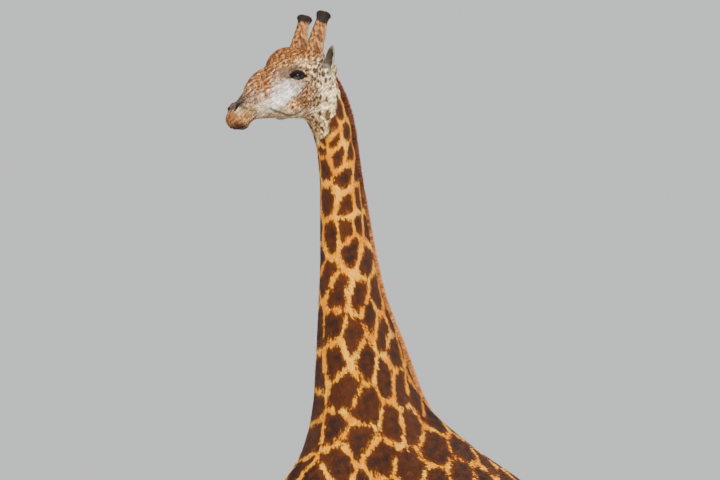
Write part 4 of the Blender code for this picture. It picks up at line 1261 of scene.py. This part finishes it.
# ---- The mane ----
# A narrow upright brush of stiff hair from the poll to the withers, red-brown above and more
# orange lower down. Its hairs grow from the nape in many rows and end in one even crest.
MANE_HAIRS = 17000 // 1
MANE_STEP, MANE_HALF = 0.012, 0.019
MANE_PLACES, MANE_WIDTHS = (0.0, 0.38, 0.72, 1.0), (0.0034, 0.0032, 0.0024, 0.0006)
# painted shade and light along each hair: dark at the root inside the brush, bright at the tip
MANE_ROOT_SHADE = (0.55, 0.85, 1.05, 1.25)  # from root to tip
MANE_BROWN, MANE_ORANGE = paint(104, 56, 34), paint(196, 128, 66)


def furthest_back(points, faces, middle):
    """How far back a form reaches at each level, on this line down its middle."""
    tree = BVHTree.FromPolygons(points.tolist(), faces)
    starts = [Vector((x, 3.0, z)) for x, z in zip(middle, levels)]
    hits = [tree.ray_cast(start, Vector((0, -1, 0)))[0] for start in starts]
    known = [n for n, hit in enumerate(hits) if hit is not None]
    return np.interp(levels, levels[known], [hits[n].y for n in known])


def flowing(row):
    """A row of values, each the mean of those near it."""
    window = np.hanning(15)[1:-1]
    return np.convolve(np.pad(row, 6, "reflect", reflect_type="odd"), window / window.sum(), "valid")


def middle_of(places):
    return (places.min() + places.max()) / 2


low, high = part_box("mane")
levels = np.arange(low.z + 0.006, high.z - 0.003, MANE_STEP)
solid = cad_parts["mane"].data
solid_points = points_of(solid)
middle = np.array([middle_of(solid_points[np.abs(solid_points[:, 2] - z) < 0.06, 0]) for z in levels])
crest = flowing(furthest_back(solid_points, [tuple(f.vertices) for f in solid.polygons], middle))
nape = flowing(furthest_back(hide_points, hide_faces.tolist(), middle))

z = dice.uniform(levels[0], levels[-1], MANE_HAIRS)
off_middle = np.clip(dice.normal(0, 0.50, MANE_HAIRS), -1, 1)
root_x, root_y, crest_y, slope = (
    np.interp(z, levels, row) for row in (flowing(middle), nape, crest, np.gradient(nape, levels))
)
nothing = np.zeros(MANE_HAIRS)
outward = unit(np.stack([nothing, nothing + 1, -slope], 1))
root = np.stack([root_x + off_middle * MANE_HALF, root_y - 0.007 - 0.009 * off_middle**2, z], 1)
stand = np.maximum(crest_y - root_y, 0.006) * outward[:, 1] + 0.007 + 0.008 * off_middle**2
clump = ripple(root, 0.060, 61)
long = stand * np.clip(1.00 + 0.02 * clump + dice.normal(0, 0.06, MANE_HAIRS), 0.55, 1.15)
long = (long * (1 - 0.12 * np.abs(off_middle)))[:, None]
sideways = 0.05 * dice.normal(size=MANE_HAIRS) - 0.10 * off_middle
upward = 0.03 * clump - 0.10 + 0.10 * dice.normal(size=MANE_HAIRS)
lean = np.stack([sideways, nothing, upward], 1)
spines = [root + outward * long * q + lean * long * q * (0.6 + 0.4 * q) for q in MANE_PLACES]
turn = dice.uniform(0, math.pi, MANE_HAIRS)
flats = laid(np.stack([np.cos(turn), nothing, np.sin(turn)], 1), outward)
widths = MANE_WIDTHS * dice.uniform(0.8, 1.2, (MANE_HAIRS, 1))
tone = mixed(MANE_BROWN, MANE_ORANGE, step(-z, -4.45, -3.95))
tone *= (1 + 0.21 * clump + dice.normal(0, 0.14, MANE_HAIRS)).clip(0.4, 1.6)[:, None]
# painted shade toward the roots, painted light toward the tips
tone = tone[:, None] * np.array(MANE_ROOT_SHADE)[:, None]
places = np.stack([off_middle * 0.45 + 0.5, (z - levels[0]) / (levels[-1] - levels[0])], 1)
mane = ribboned("mane_hair", np.stack(spines, 1), widths, flats, tone, places)
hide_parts("mane")

# ---- The tail tuft ----
# Long coarse hair, black with a brown cast, that grows from the last stretch of the dock and
# hangs straight down in a narrow switch to above the hocks.
TUFT_HAIRS = 2600
TUFT_WIDTHS = (0.0030, 0.0034, 0.0034, 0.0032, 0.0030, 0.0026, 0.0018, 0.0004)
TUFT_TONE = paint(42, 31, 26)
DOCK_HALF = 0.013

low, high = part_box("tail_tuft")
levels = np.linspace(low.z + 0.004, high.z - 0.004, 30)
solid_points = points_of(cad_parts["tail_tuft"].data)
rings = [solid_points[np.abs(solid_points[:, 2] - z) < 0.05] for z in levels]
half = [np.ptp(ring[:, 0]) / 2 for ring in rings]
middle_x, middle_y = ([middle_of(ring[:, k]) for ring in rings] for k in (0, 1))

around = dice.uniform(0, 2 * math.pi, TUFT_HAIRS)
inner = np.sqrt(dice.uniform(0.05, 1, TUFT_HAIRS))
start = high.z + dice.uniform(-0.22, 0.05, TUFT_HAIRS)
end = low.z + 0.004 + np.abs(dice.normal(0, 0.10, TUFT_HAIRS)).clip(0, 0.35)
bow = dice.normal(0, 0.10, TUFT_HAIRS)
spines = []
for q in np.linspace(0, 1, len(TUFT_WIDTHS)):
    z = start + (end - start) * q
    swing = around + bow * q * 3 + 0.25 * np.sin(9 * q + around)
    reach = np.interp(z, levels, half) * inner * (0.80 + 0.15 * math.sin(math.pi * q))
    reach = np.maximum(reach * step(high.z - z, -0.10, 0.22), DOCK_HALF * (q < 0.2))
    x = np.interp(z, levels, middle_x) + reach * np.cos(swing)
    y = np.interp(z, levels, middle_y) + reach * np.sin(swing)
    spines.append(np.stack([x, y, z], 1))
flats = np.stack([-np.sin(around + 0.5), np.cos(around + 0.5), np.zeros(TUFT_HAIRS)], 1)
tone = TUFT_TONE * dice.uniform(0.45, 2.0, (TUFT_HAIRS, 1, 1))
places = np.stack([around / (2 * math.pi), inner], 1)
tuft = ribboned("tail_hair", np.stack(spines, 1), TUFT_WIDTHS, flats, tone, places)
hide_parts("tail_tuft")

# ---- The hooves ----
# Two claws of dull dark horn on each foot, with growth rings below the coronet, a worn pale rim
# and a flat sole. Longer hair hangs over the top of the horn from the skin.
HOOF_GRAIN, SOLE, RING_HEIGHT, RING_SPACING = 0.0034, 0.004, 0.0012, 0.0065
HOOF_DARK, HOOF_PALE, HOOF_WORN = paint(44, 36, 30), paint(104, 88, 72), paint(150, 134, 112)
CORONET_LOCKS, CORONET_SIZE = 4200, (0.022, 0.0034, 0.0065)

horn = Finish("hoof_horn")
where = horn.node("TexCoord")["Object"]
stretched = horn.node("Mapping", {"Vector": where, "Scale": (1.0, 1.0, 9.0)})["Vector"]
grain = horn.node("Mix", {
    0: 0.45,
    2: horn.noise(14.0, 4.0, stretched),
    3: horn.noise(60.0, 6.0, Roughness=0.65),
})[0]
height = horn.node("SeparateXYZ", {0: where})["Z"]
worn = {
    0: horn.ranged(height, 0.0, 0.022, 0.55, 0.0),
    6: horn.ramp(grain, (0.34, HOOF_DARK), (0.70, HOOF_PALE)),
    7: (*HOOF_WORN, 1),
}
horn.shade({
    "Base Color": horn.node("Mix", worn, data_type="RGBA")[2],
    "Roughness": 0.55,
    "Normal": horn.bump(grain, 0.6, 0.003),
})
for node in HOOVES:
    hoof = even_piece("horn_" + node, node, HOOF_GRAIN, None, 6)
    points, normals = points_of(hoof.data), normals_of(hoof.data)
    z = points[:, 2]
    ringed = np.sin(z / RING_SPACING + 2 * ripple(points, 0.08, 71, 1))
    ringed *= RING_HEIGHT * step(z, 0.012, 0.03) * (1 - step(z, 0.10, 0.12))
    points += normals * ringed[:, None]
    points[points[:, 2] < SOLE, 2] = 0.0
    points -= normals * (0.011 * step(normals[:, 2], 0.25, 0.60) * step(points[:, 2], 0.05, 0.07))[:, None]
    move_to(hoof.data, points)
    hoof.data.materials.append(horn.material)
    stands_for(hoof, node)

    low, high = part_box(node)
    over = (centres > (low.x - 0.01, low.y - 0.01, HOOF_TOP - 0.050)).all(1)
    over &= (centres < (high.x + 0.01, high.y + 0.01, HOOF_TOP + 0.012)).all(1)
    roots, normals = scattered(hide, CORONET_LOCKS, over)
    middle = (low + high) / 2
    outward = roots * (1, 1, 0) - (middle.x, middle.y, 0)
    ways = laid(0.5 * unit(outward) - UP, normals)
    places = turned(roots, middle.x, middle.y, 0.08, 0.17)
    colours = markings(roots, normals)
    combed("coronet_" + node, "coat", roots, normals, ways, *CORONET_SIZE, colours, places)
